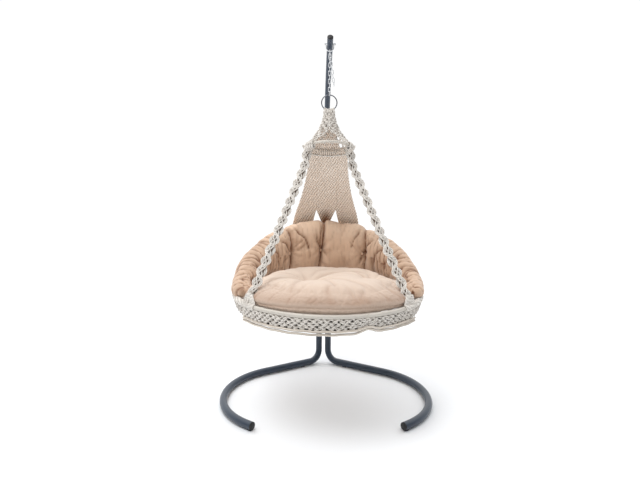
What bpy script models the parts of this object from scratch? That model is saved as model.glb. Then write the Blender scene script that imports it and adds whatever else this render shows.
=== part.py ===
"""Macrame nest chair hanging from a C-shaped steel floor stand.

Run with: blender --background --python part.py
Units are metres, +Z is up, the chair faces -Y, and the origin lies on the floor under the
middle of the whole object.
"""

from math import acos, atan2, cos, pi, radians, sin, sqrt

import bmesh
import bpy
import numpy as np
from mathutils import Matrix, Vector

# ---------------------------------------------------------------- driving dimensions

GAP = 0.0003                    # what touching pieces keep between them

# base: two bent tubes, each a riser, a straight run and a curled foot
LEG_R = 0.019                   # tube radius
LEG_WALL = 0.002
RISER_SPACING = 0.057           # between the two riser centre lines
RISER_LENGTH = 0.50             # along the tube, from the floor bend's corner
LEAN = radians(8.0)             # how far risers and pole lean back
HEEL_BEND_R = 0.068             # bend from the riser to the floor
SPLAY = radians(31.0)           # straight run, forward of sideways
RUN_LENGTH = 0.375              # straight run, from the riser's corner
FOOT_ARC_R = 0.385
FOOT_ARC = radians(113.0)
FOOT_TAIL = 0.028               # straight end that takes the cap
PAD_T = 0.0025                  # rubber pad under the tube
PAD_W = 0.016
PAD_L = 0.024
PAD_HEEL = 0.12                 # rear pads, along the straight run

# pole: one tube, pressed flat at the foot and bent forward in one long arc
POLE_R = 0.016
POLE_WALL = 0.002
POLE_FOOT = 0.25                # where the pole starts, along the risers
POLE_STRAIGHT = 0.591           # where its arc starts, along the risers
POLE_ARC_R = 1.300
TIP_PITCH = radians(31.0)       # rise of the pole at its tip
TIP_TAIL = 0.022                # straight end that takes the cap
PRESS_PAST = 0.015              # pressed flat to this far past the risers' tops
PRESS_EASE = 0.07               # from flat back to round

# bolts through the risers and the pressed foot
BOLT_R = 0.004
BOLT_HOLE_R = 0.0043
BOLT_EDGE = 0.045               # lower bolt, above the pole's end
BOLT_PITCH = 0.12
HEAD_R = 0.0072                 # across the corners of a hexagon
HEAD_T = 0.0053
NUT_T = 0.0065
SADDLE_R = 0.0105
SADDLE_T = 0.004                # washer between a round tube and a flat head

TUBE_SIDES = 12
POLE_SIDES = 16

# plastic caps
CAP_FLANGE_T = 0.004
CAP_DOME = 0.003
CAP_PLUG = 0.018
CAP_CLEAR = 0.0003

# stirrup, master link and chain
PIN_BACK = 0.026                # pin, back from the end of the pole's arc
STIRRUP_ROD_R = 0.003
STIRRUP_DROP = 0.039            # pin to the rod at the bottom of the U
STIRRUP_SIDE_CLEAR = 0.0008
EYE_R = 0.009
EYE_T = 0.0062
LINK_WIRE_R = 0.0018
LINK_INNER = (0.0219, 0.0072)   # length and width inside a link
MASTER_WIRE_R = 0.002
MASTER_INNER = (0.026, 0.019)
MASTER_TURNS = 8                # steps in each half round of the master link
MASTER_SHIFT = 0.0032           # the master link sits this far forward of its chain
CHAIN_LINKS = 10
SPARE_LINKS = 8
SPARE_OFFSET = (0.0018, 0.0090)  # spare end, to the right and forward of the chain
SPARE_TILT = radians(8.0)

# ring, hoops and soft parts
RING_R = 0.041                  # to the middle of the wire
RING_WIRE_R = 0.003
TOP_HOOP_DROP = 0.236           # ring centre to top hoop
TOP_HOOP_TILT = radians(11.0)   # the back panel's pull lowers the hoop's rear
TOP_HOOP_R = 0.115
TOP_HOOP_TUBE_R = 0.0075
SEAT_HOOP_DROP = 0.9916         # ring centre to seat hoop
SEAT_HOOP_R = 0.476
SEAT_HOOP_TUBE_R = 0.010
HOOP_SIDES = 48                 # straight pieces the seat hoop is drawn with
SEAT_FORWARD = 0.055            # seat hoop forward of the ring, which balances the bolster
CORD_T = 0.008                  # thickness of knotted work
NECK_R = 0.028                  # net under the ring
NET_HEM = 0.012                 # upright edge where knotted work meets the top hoop
FRONT_SLIT_HALF = 0.052         # half width of the slit in the top net, at the hoop
FRONT_SLIT_RISE = 0.062
ROPE_R = 0.020
ROPE_AZIMUTH = radians(52.0)    # where a rope meets the seat hoop, from the front
ROPE_NECK = 0.075               # rope hangs straight this far under the top hoop
SEAT_NET_SAG = 0.045
SKIRT_DEPTH = 0.070
SKIRT_AZIMUTH = radians(54.0)
SKIRT_STEPS = 20
PANEL_TOP_AZIMUTH = radians(62.0)
PANEL_AZIMUTH = radians(24.5)
# the panel's line between the two hoops: share of the way out and share of the way down
PANEL_CURVE = ((0.1662, 0.1456), (0.5125, 0.3515), (0.8449, 0.5434), (1.0055, 0.7485))
NOTCH_SIDE = 0.059              # tips of the panel's two notches, from the middle
NOTCH_FOOT = 0.176              # the notches' outer sides at the hoop, from the middle
NOTCH_TOP = 0.395               # notch tip, above the seat hoop
TONGUE_END = 0.32               # end of the middle tongue, above the seat hoop
TONGUE_HALF = 0.027             # half width of the middle tongue's end

# cushions
CUSHION_R = 0.372
CUSHION_FORWARD = 0.088
CUSHION_SEAM = 0.040            # seam above the seat hoop
CUSHION_CROWN = 0.068
CUSHION_FILL = 7                # the larger, the flatter the underside out to its rim
BOLSTER_SPREAD = radians(111.0)
BOLSTER_TOP = 0.335             # top of the back above the seat hoop
BOLSTER_END_TOP = 0.100
BOLSTER_FALL = 1.4              # above 1 keeps the top edge high further round
BOLSTER_HALF_T = 0.077          # half thickness behind
BOLSTER_END_HALF_T = 0.051
BOLSTER_INSET = 0.013           # outer side behind, inside the hoop's middle line
BOLSTER_END_INSET = -0.024
BOLSTER_STATIONS = 26           # sections along the bolster
BUTTON_R = 0.009
BUTTON_T = 0.005
BUTTON_TILT = 0.16              # the bolster's inner side leans over by this, run for rise

# ---------------------------------------------------------------- worked-out places

RISER_X = RISER_SPACING / 2
LEG_Z = PAD_T + LEG_R                                  # tube centre over the floor
PRESS_T = RISER_SPACING - 2 * LEG_R - 2 * GAP          # pressed foot fits between the risers
BACKWARD = radians(90.0) + LEAN


def pole_point(angle):
    """(forward, up) on the pole's arc where the tube rises at this angle from level."""
    foot = (-POLE_STRAIGHT * sin(LEAN), LEG_Z + POLE_STRAIGHT * cos(LEAN))
    centre = (foot[0] + POLE_ARC_R * sin(BACKWARD), foot[1] - POLE_ARC_R * cos(BACKWARD))
    return centre[0] - POLE_ARC_R * sin(angle), centre[1] + POLE_ARC_R * cos(angle)


PIN_ANGLE = TIP_PITCH + PIN_BACK / POLE_ARC_R
HANG_D, PIN_Z = pole_point(PIN_ANGLE)
STIRRUP_Z = PIN_Z - STIRRUP_DROP
MASTER_BOW_R = MASTER_INNER[1] / 2 * cos(pi / (2 * MASTER_TURNS))
MASTER_Z = (STIRRUP_Z - (MASTER_INNER[0] - MASTER_INNER[1]) / 2
            - sqrt((MASTER_BOW_R - STIRRUP_ROD_R - GAP) ** 2 - MASTER_SHIFT ** 2))
LINK_PITCH = LINK_INNER[0] - GAP


def master_rise(offset):
    """How far the inside of the master link's bottom has risen this far from its middle."""
    return MASTER_INNER[1] / 2 - sqrt(MASTER_BOW_R ** 2 - offset ** 2)


def hooked_z(offset):
    """Height of a link that hangs in the master link's bottom, this far from its middle."""
    return (MASTER_Z - MASTER_INNER[0] / 2 + master_rise(offset + LINK_WIRE_R) + GAP
            - LINK_INNER[0] / 2)


FIRST_LINK_Z = hooked_z(MASTER_SHIFT)
LAST_LINK_Z = FIRST_LINK_Z - (CHAIN_LINKS - 1) * LINK_PITCH
RING_Z = LAST_LINK_Z - LINK_INNER[0] / 2 + GAP + RING_WIRE_R - RING_R
TOP_HOOP_Z = RING_Z - TOP_HOOP_DROP
SEAT_HOOP_Z = RING_Z - SEAT_HOOP_DROP

REAR_D = min(
    pole_point(radians(90.0))[0] - POLE_R,
    -RISER_LENGTH * sin(LEAN) - LEG_R * cos(LEAN),
)
FRONT_D = HANG_D + SEAT_FORWARD + SEAT_HOOP_R + SEAT_HOOP_TUBE_R
ORIGIN_D = (REAR_D + FRONT_D) / 2


def place(forward, up, side=0.0):
    """Point from its distance forward of the risers' feet, its height and its side."""
    return Vector((side, ORIGIN_D - forward, up))


AXIS_Y = place(HANG_D, 0.0).y                          # the hanging line
SEAT_Y = AXIS_Y - SEAT_FORWARD                         # the seat hoop's centre
TOP_Y = AXIS_Y - SEAT_FORWARD * TOP_HOOP_DROP / SEAT_HOOP_DROP

# ---------------------------------------------------------------- scene, materials, helpers

for old in list(bpy.data.objects):
    bpy.data.objects.remove(old, do_unlink=True)

parts = bpy.data.collections.new("macrame_nest_chair")
cutters = bpy.data.collections.new("cutters")
bpy.context.scene.collection.children.link(parts)
bpy.context.scene.collection.children.link(cutters)


def material(name, colour, roughness, metallic=0.0):
    made = bpy.data.materials.new(name)
    made.use_nodes = True
    shader = made.node_tree.nodes["Principled BSDF"]
    shader.inputs["Base Color"].default_value = (*colour, 1.0)
    shader.inputs["Roughness"].default_value = roughness
    shader.inputs["Metallic"].default_value = metallic
    return made


POWDER_COAT = material("powder_coat", (0.052, 0.072, 0.105), 0.42)
BLACK_PLASTIC = material("black_plastic", (0.012, 0.012, 0.013), 0.5)
ZINC = material("zinc", (0.62, 0.63, 0.64), 0.32, 1.0)
DARK_STEEL = material("dark_steel", (0.11, 0.11, 0.12), 0.38, 1.0)
HOOP_PAINT = material("hoop_paint", (0.78, 0.74, 0.67), 0.4)
COTTON = material("cotton_cord", (0.72, 0.66, 0.57), 0.9)
PANEL_COTTON = material("panel_cord", (0.60, 0.50, 0.40), 0.9)
SEAT_FABRIC = material("seat_fabric", (0.72, 0.50, 0.36), 0.85)


def add(name, data, finish, collection=parts):
    obj = bpy.data.objects.new(name, data)
    collection.objects.link(obj)
    if finish:
        data.materials.append(finish)
    return obj


def smooth(mesh, angle=40.0):
    mesh.shade_smooth()
    mesh.set_sharp_from_angle(angle=radians(angle))


def mesh_from(name, build):
    """A mesh that the function build fills through a bmesh."""
    bm = bmesh.new()
    build(bm)
    bmesh.ops.recalc_face_normals(bm, faces=bm.faces)
    mesh = bpy.data.meshes.new(name)
    bm.to_mesh(mesh)
    bm.free()
    smooth(mesh)
    return mesh


def rod(name, points, radius, finish, closed=False, sides=8):
    """A round bar along the points; a closed one has no ends. sides is 6, 8, 10 or 12."""
    curve = bpy.data.curves.new(name, "CURVE")
    curve.dimensions = "3D"
    curve.bevel_depth = radius
    curve.bevel_resolution = (sides - 4) // 2
    curve.use_fill_caps = not closed
    curve.render_resolution_u = 0
    spline = curve.splines.new("POLY")
    spline.points.add(len(points) - 1)
    for target, point in zip(spline.points, points):
        target.co = (*point, 1.0)
    spline.use_cyclic_u = closed
    return add(name, curve, finish)


def made_mesh(obj):
    """Replaces a curve object by a mesh object of the same name and form, ends welded."""
    bpy.context.view_layer.update()
    graph = bpy.context.evaluated_depsgraph_get()
    mesh = bpy.data.meshes.new_from_object(obj.evaluated_get(graph))
    bm = bmesh.new()
    bm.from_mesh(mesh)
    bmesh.ops.remove_doubles(bm, verts=bm.verts, dist=0.00001)
    bmesh.ops.recalc_face_normals(bm, faces=bm.faces)
    bm.to_mesh(mesh)
    bm.free()
    name, matrix = obj.name, obj.matrix_world.copy()
    bpy.data.objects.remove(obj, do_unlink=True)
    made = bpy.data.objects.new(name, mesh)
    made.matrix_world = matrix
    parts.objects.link(made)
    return made


def cylinder(name, radius, length, centre, axis, finish=None, collection=parts, sides=16):
    """A cylinder, or with six sides a hexagon, centred on a point with its ends square to axis."""
    def build(bm):
        bmesh.ops.create_cone(bm, cap_ends=True, segments=sides, radius1=radius,
                              radius2=radius, depth=length)
    obj = add(name, mesh_from(name, build), finish, collection)
    obj.rotation_euler = Vector(axis).to_track_quat("Z", "Y").to_euler()
    obj.location = centre
    return obj


def as_cutter(obj):
    obj.hide_render = True
    obj.display_type = "WIRE"
    return obj


def boolean(obj, tool, operation="DIFFERENCE"):
    step = obj.modifiers.new(operation.lower(), "BOOLEAN")
    step.operation = operation
    step.object = tool
    step.solver = "EXACT"


def joined(name, solids, finish):
    """One closed body from several that run into each other."""
    first = solids[0]
    for other in solids[1:]:
        boolean(first, other, "UNION")
    bpy.context.view_layer.update()
    graph = bpy.context.evaluated_depsgraph_get()
    mesh = bpy.data.meshes.new_from_object(first.evaluated_get(graph))
    mesh.transform(first.matrix_world)
    for solid in solids:
        bpy.data.objects.remove(solid, do_unlink=True)
    mesh.materials.clear()
    smooth(mesh)
    return add(name, mesh, finish)


def turned(name, profile, centre, axis, finish, steps=12):
    """A solid of revolution. profile runs (radius, height) from the top down its outer side."""
    mesh = bpy.data.meshes.new(name)
    verts = [(radius, 0.0, height) for radius, height in profile]
    mesh.from_pydata(verts, [(i, i + 1) for i in range(len(verts) - 1)], [])
    obj = add(name, mesh, finish)
    screw = obj.modifiers.new("turn", "SCREW")
    screw.axis = "Z"
    screw.steps = steps
    screw.render_steps = steps
    screw.use_merge_vertices = True
    screw.merge_threshold = 0.00001
    screw.use_smooth_shade = False
    obj.rotation_euler = Vector(axis).to_track_quat("Z", "Y").to_euler()
    obj.location = centre
    return obj


def arc(centre, start, normal, angle, count):
    """Points that turn start about a line through centre, both ends included."""
    return [
        centre + Matrix.Rotation(angle * i / count, 3, normal) @ (start - centre)
        for i in range(count + 1)
    ]


def fillet(before, corner, after, radius, count):
    """An arc of this radius that rounds the corner between two straight runs."""
    u = (before - corner).normalized()
    v = (after - corner).normalized()
    half = acos(u.dot(v)) / 2
    start = corner + u * radius * cos(half) / sin(half)
    centre = corner + (u + v).normalized() * radius / sin(half)
    normal = v.cross(u)
    return arc(centre, start, normal.normalized(), pi - 2 * half, count)


def surface(name, grid, finish, wall=0.0, wrap=False, offset=0.0):
    """A mesh through a grid of points, rows by columns. wall thickens it with Solidify."""
    rows, columns = grid.shape[:2]
    mesh = bpy.data.meshes.new(name)
    faces = []
    last = columns if wrap else columns - 1
    for i in range(rows - 1):
        for j in range(last):
            k = (j + 1) % columns
            faces.append((i * columns + j, i * columns + k, (i + 1) * columns + k,
                          (i + 1) * columns + j))
    mesh.from_pydata(grid.reshape(-1, 3).tolist(), [], faces)
    smooth(mesh)
    obj = add(name, mesh, finish)
    if wall:
        solid = obj.modifiers.new("wall", "SOLIDIFY")
        solid.thickness = wall
        solid.offset = offset
        solid.use_rim = True
        solid.use_even_offset = True
    return obj


# ---------------------------------------------------------------- stand

def leg_path(side):
    """Centre line of one base tube: down the riser, round the heel, out and round the foot."""
    top = place(-RISER_LENGTH * sin(LEAN), LEG_Z + RISER_LENGTH * cos(LEAN), side * RISER_X)
    corner = place(0.0, LEG_Z, side * RISER_X)
    out = Vector((side * cos(SPLAY), -sin(SPLAY), 0.0))
    run_end = corner + out * RUN_LENGTH
    inward = Vector((-side * sin(SPLAY), -cos(SPLAY), 0.0))
    centre = run_end + inward * FOOT_ARC_R
    curl = arc(centre, run_end, Vector((0, 0, -side)), FOOT_ARC, 11)
    turn = Matrix.Rotation(FOOT_ARC, 3, Vector((0, 0, -side)))
    tail = curl[-1] + (turn @ out) * FOOT_TAIL
    return [top] + fillet(top, corner, run_end, HEEL_BEND_R, 5) + curl + [tail]


def hollow_tube(name, path, radius, wall):
    """An open tube: the skin of a bar without its ends, given a wall inwards."""
    tube = rod(name, path, radius, POWDER_COAT, sides=TUBE_SIDES)
    tube.data.use_fill_caps = False
    solid = tube.modifiers.new("wall", "SOLIDIFY")
    solid.thickness = wall
    solid.offset = -1.0
    return made_mesh(tube)


def end_cap(name, radius, wall, sides, end, outward):
    """A plug with a domed flange, pushed into a tube's end; outward is the tube's direction."""
    plug = (radius - wall) * cos(pi / sides) - CAP_CLEAR
    profile = [(0.0, CAP_FLANGE_T + CAP_DOME)]
    for i in range(1, 3):
        share = i / 3
        profile.append((radius * sin(share * pi / 2),
                        CAP_FLANGE_T + CAP_DOME * cos(share * pi / 2)))
    profile += [(radius, CAP_FLANGE_T), (radius, GAP), (plug, GAP),
                (plug, -CAP_PLUG * 0.8), (plug * 0.9, -CAP_PLUG), (0.0, -CAP_PLUG)]
    return turned(name, profile, end, outward, BLACK_PLASTIC)


RISER_UP = Vector((0.0, sin(LEAN), cos(LEAN)))
RISER_FOOT = place(0.0, LEG_Z)
TIP_ALONG = Vector((0.0, -cos(TIP_PITCH), sin(TIP_PITCH)))
POLE_TIP = place(*pole_point(TIP_PITCH)) + TIP_ALONG * TIP_TAIL


def pressed_section(share):
    """Outline of the pole where it is pressed: 0 is round and 1 is flat. The girth is kept."""
    girth = 2 * pi * POLE_R
    half_t = POLE_R + (PRESS_T / 2 - POLE_R) * share
    half_w = (girth - 2 * pi * half_t) / 4 + half_t
    points = []
    for i in range(POLE_SIDES):
        angle = 2 * pi * (i + 0.5) / POLE_SIDES
        points.append((half_t * cos(angle),
                       half_t * sin(angle) + (half_w - half_t) * (1 if sin(angle) > 0 else -1)))
    return points


def build_pole():
    """The pole's skin: pressed flat at the foot, then round along a straight and an arc."""
    press_end = RISER_LENGTH + PRESS_PAST
    stations = {POLE_FOOT: 1.0, press_end: 1.0}
    for i in range(1, 5):
        stations[press_end + PRESS_EASE * i / 4] = 0.5 + 0.5 * cos(pi * i / 4)
    rings = []
    for along, share in sorted(stations.items()):
        if along <= POLE_STRAIGHT:
            centre, rise = RISER_FOOT + RISER_UP * along, BACKWARD
        else:
            rise = BACKWARD - (along - POLE_STRAIGHT) / POLE_ARC_R
            centre = place(*pole_point(rise))
        rings.append((centre, rise, share))
    start = rings[-1][1]
    turns = 12
    for i in range(1, turns + 1):
        rise = start + (TIP_PITCH - start) * i / turns
        rings.append((place(*pole_point(rise)), rise, 0.0))
    rings.append((POLE_TIP, TIP_PITCH, 0.0))
    grid = []
    for centre, rise, share in rings:
        across = Vector((0.0, sin(rise), cos(rise)))
        grid.append([centre + Vector((1, 0, 0)) * x + across * w
                     for x, w in pressed_section(share)])
    return surface("pole", np.array(grid), POWDER_COAT, POLE_WALL, wrap=True, offset=-1.0)


def floor_pad(name, centre, along):
    """A rubber pad between the floor and a tube, hollowed to the tube's round."""
    def build(bm):
        bmesh.ops.create_cube(bm, size=1.0)
        bmesh.ops.scale(bm, vec=(PAD_L, PAD_W, PAD_T + LEG_R / 2), verts=bm.verts)
        bmesh.ops.translate(bm, vec=(0, 0, (PAD_T + LEG_R / 2) / 2), verts=bm.verts)

    pad = add(name, mesh_from(name, build), BLACK_PLASTIC)
    pad.location = (centre.x, centre.y, 0.0)
    pad.rotation_euler = (0, 0, atan2(along.y, along.x))
    tube = as_cutter(cylinder(name + "_round", LEG_R + GAP, 3 * PAD_L, centre, along, None,
                              cutters, 48))
    boolean(pad, tube)


pole = build_pole()
end_cap("tip_cap", POLE_R, POLE_WALL, POLE_SIDES, POLE_TIP, TIP_ALONG)

legs = {}
for side, word in ((-1, "left"), (1, "right")):
    path = leg_path(side)
    legs[word] = hollow_tube("leg_" + word, path, LEG_R, LEG_WALL)
    legs[word].data.materials.append(POWDER_COAT)
    smooth(legs[word].data)
    end_cap("foot_cap_" + word, LEG_R, LEG_WALL, TUBE_SIDES, path[-1],
            (path[-1] - path[-2]).normalized())
    end_cap("riser_cap_" + word, LEG_R, LEG_WALL, TUBE_SIDES, path[0], RISER_UP)
    out = Vector((side * cos(SPLAY), -sin(SPLAY), 0.0))
    floor_pad("heel_pad_" + word, place(0.0, LEG_Z, side * RISER_X) + out * PAD_HEEL, out)
    floor_pad("foot_pad_" + word, (path[-1] + path[-2]) / 2, path[-1] - path[-2])

pin = place(HANG_D, PIN_Z)
hole = as_cutter(cylinder("hole_pin", BOLT_HOLE_R, 4 * POLE_R, pin, (1, 0, 0), None, cutters))
boolean(pole, hole)


def saddle(name, side, centre):
    """A washer, flat outside and hollowed to the tube's round on the inside."""
    washer = cylinder(name, SADDLE_R, SADDLE_T * 2, centre, (1, 0, 0), ZINC)
    tube = as_cutter(cylinder(name + "_round", LEG_R + GAP, 6 * SADDLE_R,
                              Vector((side * RISER_X, centre.y, centre.z)), RISER_UP,
                              None, cutters, 32))
    bore = as_cutter(cylinder(name + "_bore", BOLT_HOLE_R, 8 * SADDLE_T, centre, (1, 0, 0),
                              None, cutters))
    boolean(washer, tube)
    boolean(washer, bore)


def hex_bolt(name, centre, half_grip, head_side, tail):
    """A shank along X with a hexagon head at one end. half_grip is the middle to the head."""
    head = cylinder(name, HEAD_R, HEAD_T, centre + Vector((head_side * (half_grip + HEAD_T / 2), 0, 0)),
                    (1, 0, 0), None, sides=6)
    length = half_grip + tail + HEAD_T / 2
    shank = cylinder(name + "_shank", BOLT_R, length,
                     centre + Vector((head_side * (half_grip + HEAD_T / 2 - length / 2), 0, 0)),
                     (1, 0, 0), None, sides=12)
    return joined(name, [head, shank], ZINC)


def hex_nut(name, centre):
    nut = cylinder(name, HEAD_R, NUT_T, centre, (1, 0, 0), ZINC, sides=6)
    bore = as_cutter(cylinder(name + "_bore", BOLT_R + GAP, 4 * NUT_T, centre, (1, 0, 0), None,
                              cutters, 12))
    boolean(nut, bore)


saddle_face = RISER_X + LEG_R + SADDLE_T
for word, along in (("lower", BOLT_EDGE), ("upper", BOLT_EDGE + BOLT_PITCH)):
    centre = RISER_FOOT + RISER_UP * (POLE_FOOT + along)
    hole = as_cutter(cylinder("hole_" + word, BOLT_HOLE_R, 8 * RISER_X, centre, (1, 0, 0), None,
                              cutters))
    for cut in (pole, legs["left"], legs["right"]):
        boolean(cut, hole)
    for side, hand in ((-1, "left"), (1, "right")):
        saddle(f"saddle_{word}_{hand}", side,
               centre + Vector((side * (saddle_face - SADDLE_T), 0, 0)))
    grip = saddle_face + GAP
    hex_bolt("clamp_bolt_" + word, centre, grip, 1, grip + NUT_T + 0.003)
    hex_nut("clamp_nut_" + word, centre - Vector((grip + NUT_T / 2, 0, 0)))

# ---------------------------------------------------------------- hanger: pin, stirrup, chain

eye_inner = POLE_R + STIRRUP_SIDE_CLEAR
eye_outer = eye_inner + EYE_T
pin_grip = eye_outer + GAP
hex_bolt("hanger_pin", pin, pin_grip, -1, pin_grip + NUT_T + 0.003)
hex_nut("hanger_nut", pin + Vector((pin_grip + NUT_T / 2, 0, 0)))


def build_stirrup():
    """A U of round bar with a flat eye at each end, straddling the pole."""
    reach = (eye_inner + eye_outer) / 2
    bend = Vector((0, pin.y, STIRRUP_Z + reach))
    left = bend - Vector((reach, 0, 0))
    bow = arc(bend, left, Vector((0, -1, 0)), pi, 10)
    path = [Vector((-reach, pin.y, pin.z))] + bow + [Vector((reach, pin.y, pin.z))]
    bar = made_mesh(rod("stirrup_bar", path, STIRRUP_ROD_R - GAP / 3, None, sides=8))
    eyes = [
        cylinder(f"stirrup_eye_{side}", EYE_R, EYE_T, pin + Vector((side * reach, 0, 0)), (1, 0, 0))
        for side in (-1, 1)
    ]
    stirrup = joined("stirrup", [bar] + eyes, ZINC)
    bore = as_cutter(cylinder("stirrup_bore", BOLT_HOLE_R, 4 * reach, pin, (1, 0, 0), None, cutters))
    boolean(stirrup, bore)


def link(name, centre, wire, inner, across, down=Vector((0, 0, -1)), sides=6, count=4):
    """A closed oval of wire: two straight sides joined by half rounds, across by down."""
    half = inner[1] / 2 + wire
    straight = inner[0] / 2 + wire - half
    lower = centre + down * straight
    upper = centre - down * straight
    normal = across.cross(down)
    path = arc(lower, lower + across * half, normal, pi, count)
    path += arc(upper, upper - across * half, normal, pi, count)
    return rod(name, path, wire, ZINC, closed=True, sides=sides)


SIDEWAYS = Vector((1, 0, 0))
FORWARD = Vector((0, -1, 0))

build_stirrup()
link("master_link", Vector((0, AXIS_Y - MASTER_SHIFT, MASTER_Z)), MASTER_WIRE_R, MASTER_INNER,
     FORWARD, sides=8, count=MASTER_TURNS)
for i in range(CHAIN_LINKS):
    across = SIDEWAYS if i % 2 == 0 else FORWARD
    link(f"chain_link_{i + 1:02d}", Vector((0, AXIS_Y, FIRST_LINK_Z - i * LINK_PITCH)),
         LINK_WIRE_R, LINK_INNER, across)

spare_down = Vector((sin(SPARE_TILT), 0, -cos(SPARE_TILT)))
spare_across = Vector((cos(SPARE_TILT), 0, sin(SPARE_TILT)))
spare_start = Vector((SPARE_OFFSET[0], AXIS_Y - SPARE_OFFSET[1],
                      hooked_z(SPARE_OFFSET[1] - MASTER_SHIFT) + SPARE_OFFSET[0]))
for i in range(SPARE_LINKS):
    across = spare_across if i % 2 == 0 else FORWARD
    link(f"spare_link_{i + 1:02d}", spare_start + spare_down * (i * LINK_PITCH), LINK_WIRE_R,
         LINK_INNER, across, spare_down)

# ---------------------------------------------------------------- ring and hoops


def circle(centre, radius, normal, start, count):
    return arc(centre, centre + start * radius, normal, 2 * pi, count)[:-1]


rod("hanging_ring", circle(Vector((0, AXIS_Y, RING_Z)), RING_R, Vector((0, 1, 0)),
                           Vector((0, 0, 1)), 24), RING_WIRE_R, DARK_STEEL, closed=True)
HOOP_AXIS = Vector((0, sin(TOP_HOOP_TILT), cos(TOP_HOOP_TILT)))
HOOP_FRONT = Vector((0, -cos(TOP_HOOP_TILT), sin(TOP_HOOP_TILT)))
rod("top_hoop", circle(Vector((0, TOP_Y, TOP_HOOP_Z)), TOP_HOOP_R, HOOP_AXIS, HOOP_FRONT, 24),
    TOP_HOOP_TUBE_R, HOOP_PAINT, closed=True)
rod("seat_hoop", circle(Vector((0, SEAT_Y, SEAT_HOOP_Z)), SEAT_HOOP_R, Vector((0, 0, 1)),
                        FORWARD, HOOP_SIDES), SEAT_HOOP_TUBE_R, HOOP_PAINT, closed=True)

# ---------------------------------------------------------------- knotted work, as plain solids


def polar(centre_y, radius, azimuth, height):
    """Point about a vertical line; azimuth 0 is at the front and grows to the right."""
    return Vector((radius * sin(azimuth), centre_y - radius * cos(azimuth), height))


HOOP_CLEAR = TOP_HOOP_TUBE_R + 3 * GAP               # tilted hoop's middle line to a hem


def hoop_point(azimuth):
    """A point on the middle line of the tilted top hoop."""
    across = SIDEWAYS * sin(azimuth) + HOOP_FRONT * cos(azimuth)
    return Vector((0, TOP_Y, TOP_HOOP_Z)) + across * TOP_HOOP_R


def build_top_net():
    """A bell of net from the ring to the top hoop, with a slit up its front."""
    inner = NECK_R - CORD_T / 2
    top = RING_Z - sqrt((RING_R + RING_WIRE_R) ** 2 - inner ** 2) - GAP
    up = Vector((0, 0, 1))
    columns = []
    for j in range(20):
        azimuth = 2 * pi * j / 20
        neck = polar(AXIS_Y, NECK_R, azimuth, top)
        base = hoop_point(azimuth) + up * HOOP_CLEAR
        hem = base + up * NET_HEM
        column = []
        for i in range(8):
            share = i / 7
            out = neck.lerp(hem, share ** 2.2)
            column.append(Vector((out.x, out.y, neck.z + (hem.z - neck.z) * share)))
        columns.append(column + [base])
    net = surface("top_net", np.array(columns).swapaxes(0, 1), COTTON, CORD_T, wrap=True)
    slit_base = hoop_point(0.0).z

    def wedge(bm):
        points = [(-FRONT_SLIT_HALF, slit_base), (FRONT_SLIT_HALF, slit_base),
                  (0.0, slit_base + FRONT_SLIT_RISE)]
        near = [bm.verts.new((x, TOP_Y - 2 * TOP_HOOP_R, z)) for x, z in points]
        far = [bm.verts.new((x, TOP_Y, z)) for x, z in points]
        bm.faces.new(near)
        bm.faces.new(far[::-1])
        for i in range(3):
            k = (i + 1) % 3
            bm.faces.new((near[i], near[k], far[k], far[i]))

    slit = as_cutter(add("top_net_slit", mesh_from("top_net_slit", wedge), None, cutters))
    boolean(net, slit)


build_top_net()


def rope_path(side):
    """A rope hangs from the side of the top hoop, then runs straight to the seat hoop."""
    drop = HOOP_CLEAR + ROPE_R * sin(TOP_HOOP_TILT)
    start = Vector((side * TOP_HOOP_R, TOP_Y, TOP_HOOP_Z - drop))
    knee = start - Vector((0, 0, ROPE_NECK))
    end = polar(SEAT_Y, SEAT_HOOP_R, side * ROPE_AZIMUTH, SEAT_HOOP_Z + SEAT_HOOP_TUBE_R + GAP)
    heel = end + Vector((0, 0, ROPE_R))
    path = [start] + fillet(start, knee, heel, 0.15, 4)
    path += fillet(knee, heel, end, ROPE_R * 1.1, 3) + [end]
    return path


for side, word in ((-1, "left"), (1, "right")):
    rod("rope_" + word, rope_path(side), ROPE_R, COTTON, sides=8)


def panel_line():
    """Radius and height of the back panel at points from the top hoop to the seat hoop."""
    line = [(TOP_HOOP_R, TOP_HOOP_Z - HOOP_CLEAR - NET_HEM)]
    for out, down in PANEL_CURVE:
        line.append((TOP_HOOP_R + (SEAT_HOOP_R - TOP_HOOP_R) * out,
                     TOP_HOOP_Z + (SEAT_HOOP_Z - TOP_HOOP_Z) * down))
    return line + [(SEAT_HOOP_R, SEAT_HOOP_Z + SEAT_HOOP_TUBE_R + GAP)]


def eased(points, count):
    """A smooth line through the points, evenly spread by a Catmull-Rom rule."""
    points = [np.array(p, float) for p in points]
    padded = [2 * points[0] - points[1]] + points + [2 * points[-1] - points[-2]]
    out = []
    for i in range(1, len(padded) - 2):
        a, b, c, d = padded[i - 1:i + 3]
        for j in range(count):
            t = j / count
            out.append(0.5 * (2 * b + (c - a) * t + (2 * a - 5 * b + 4 * c - d) * t * t
                              + (3 * b - a - 3 * c + d) * t ** 3))
    return out + [points[-1]]


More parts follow.
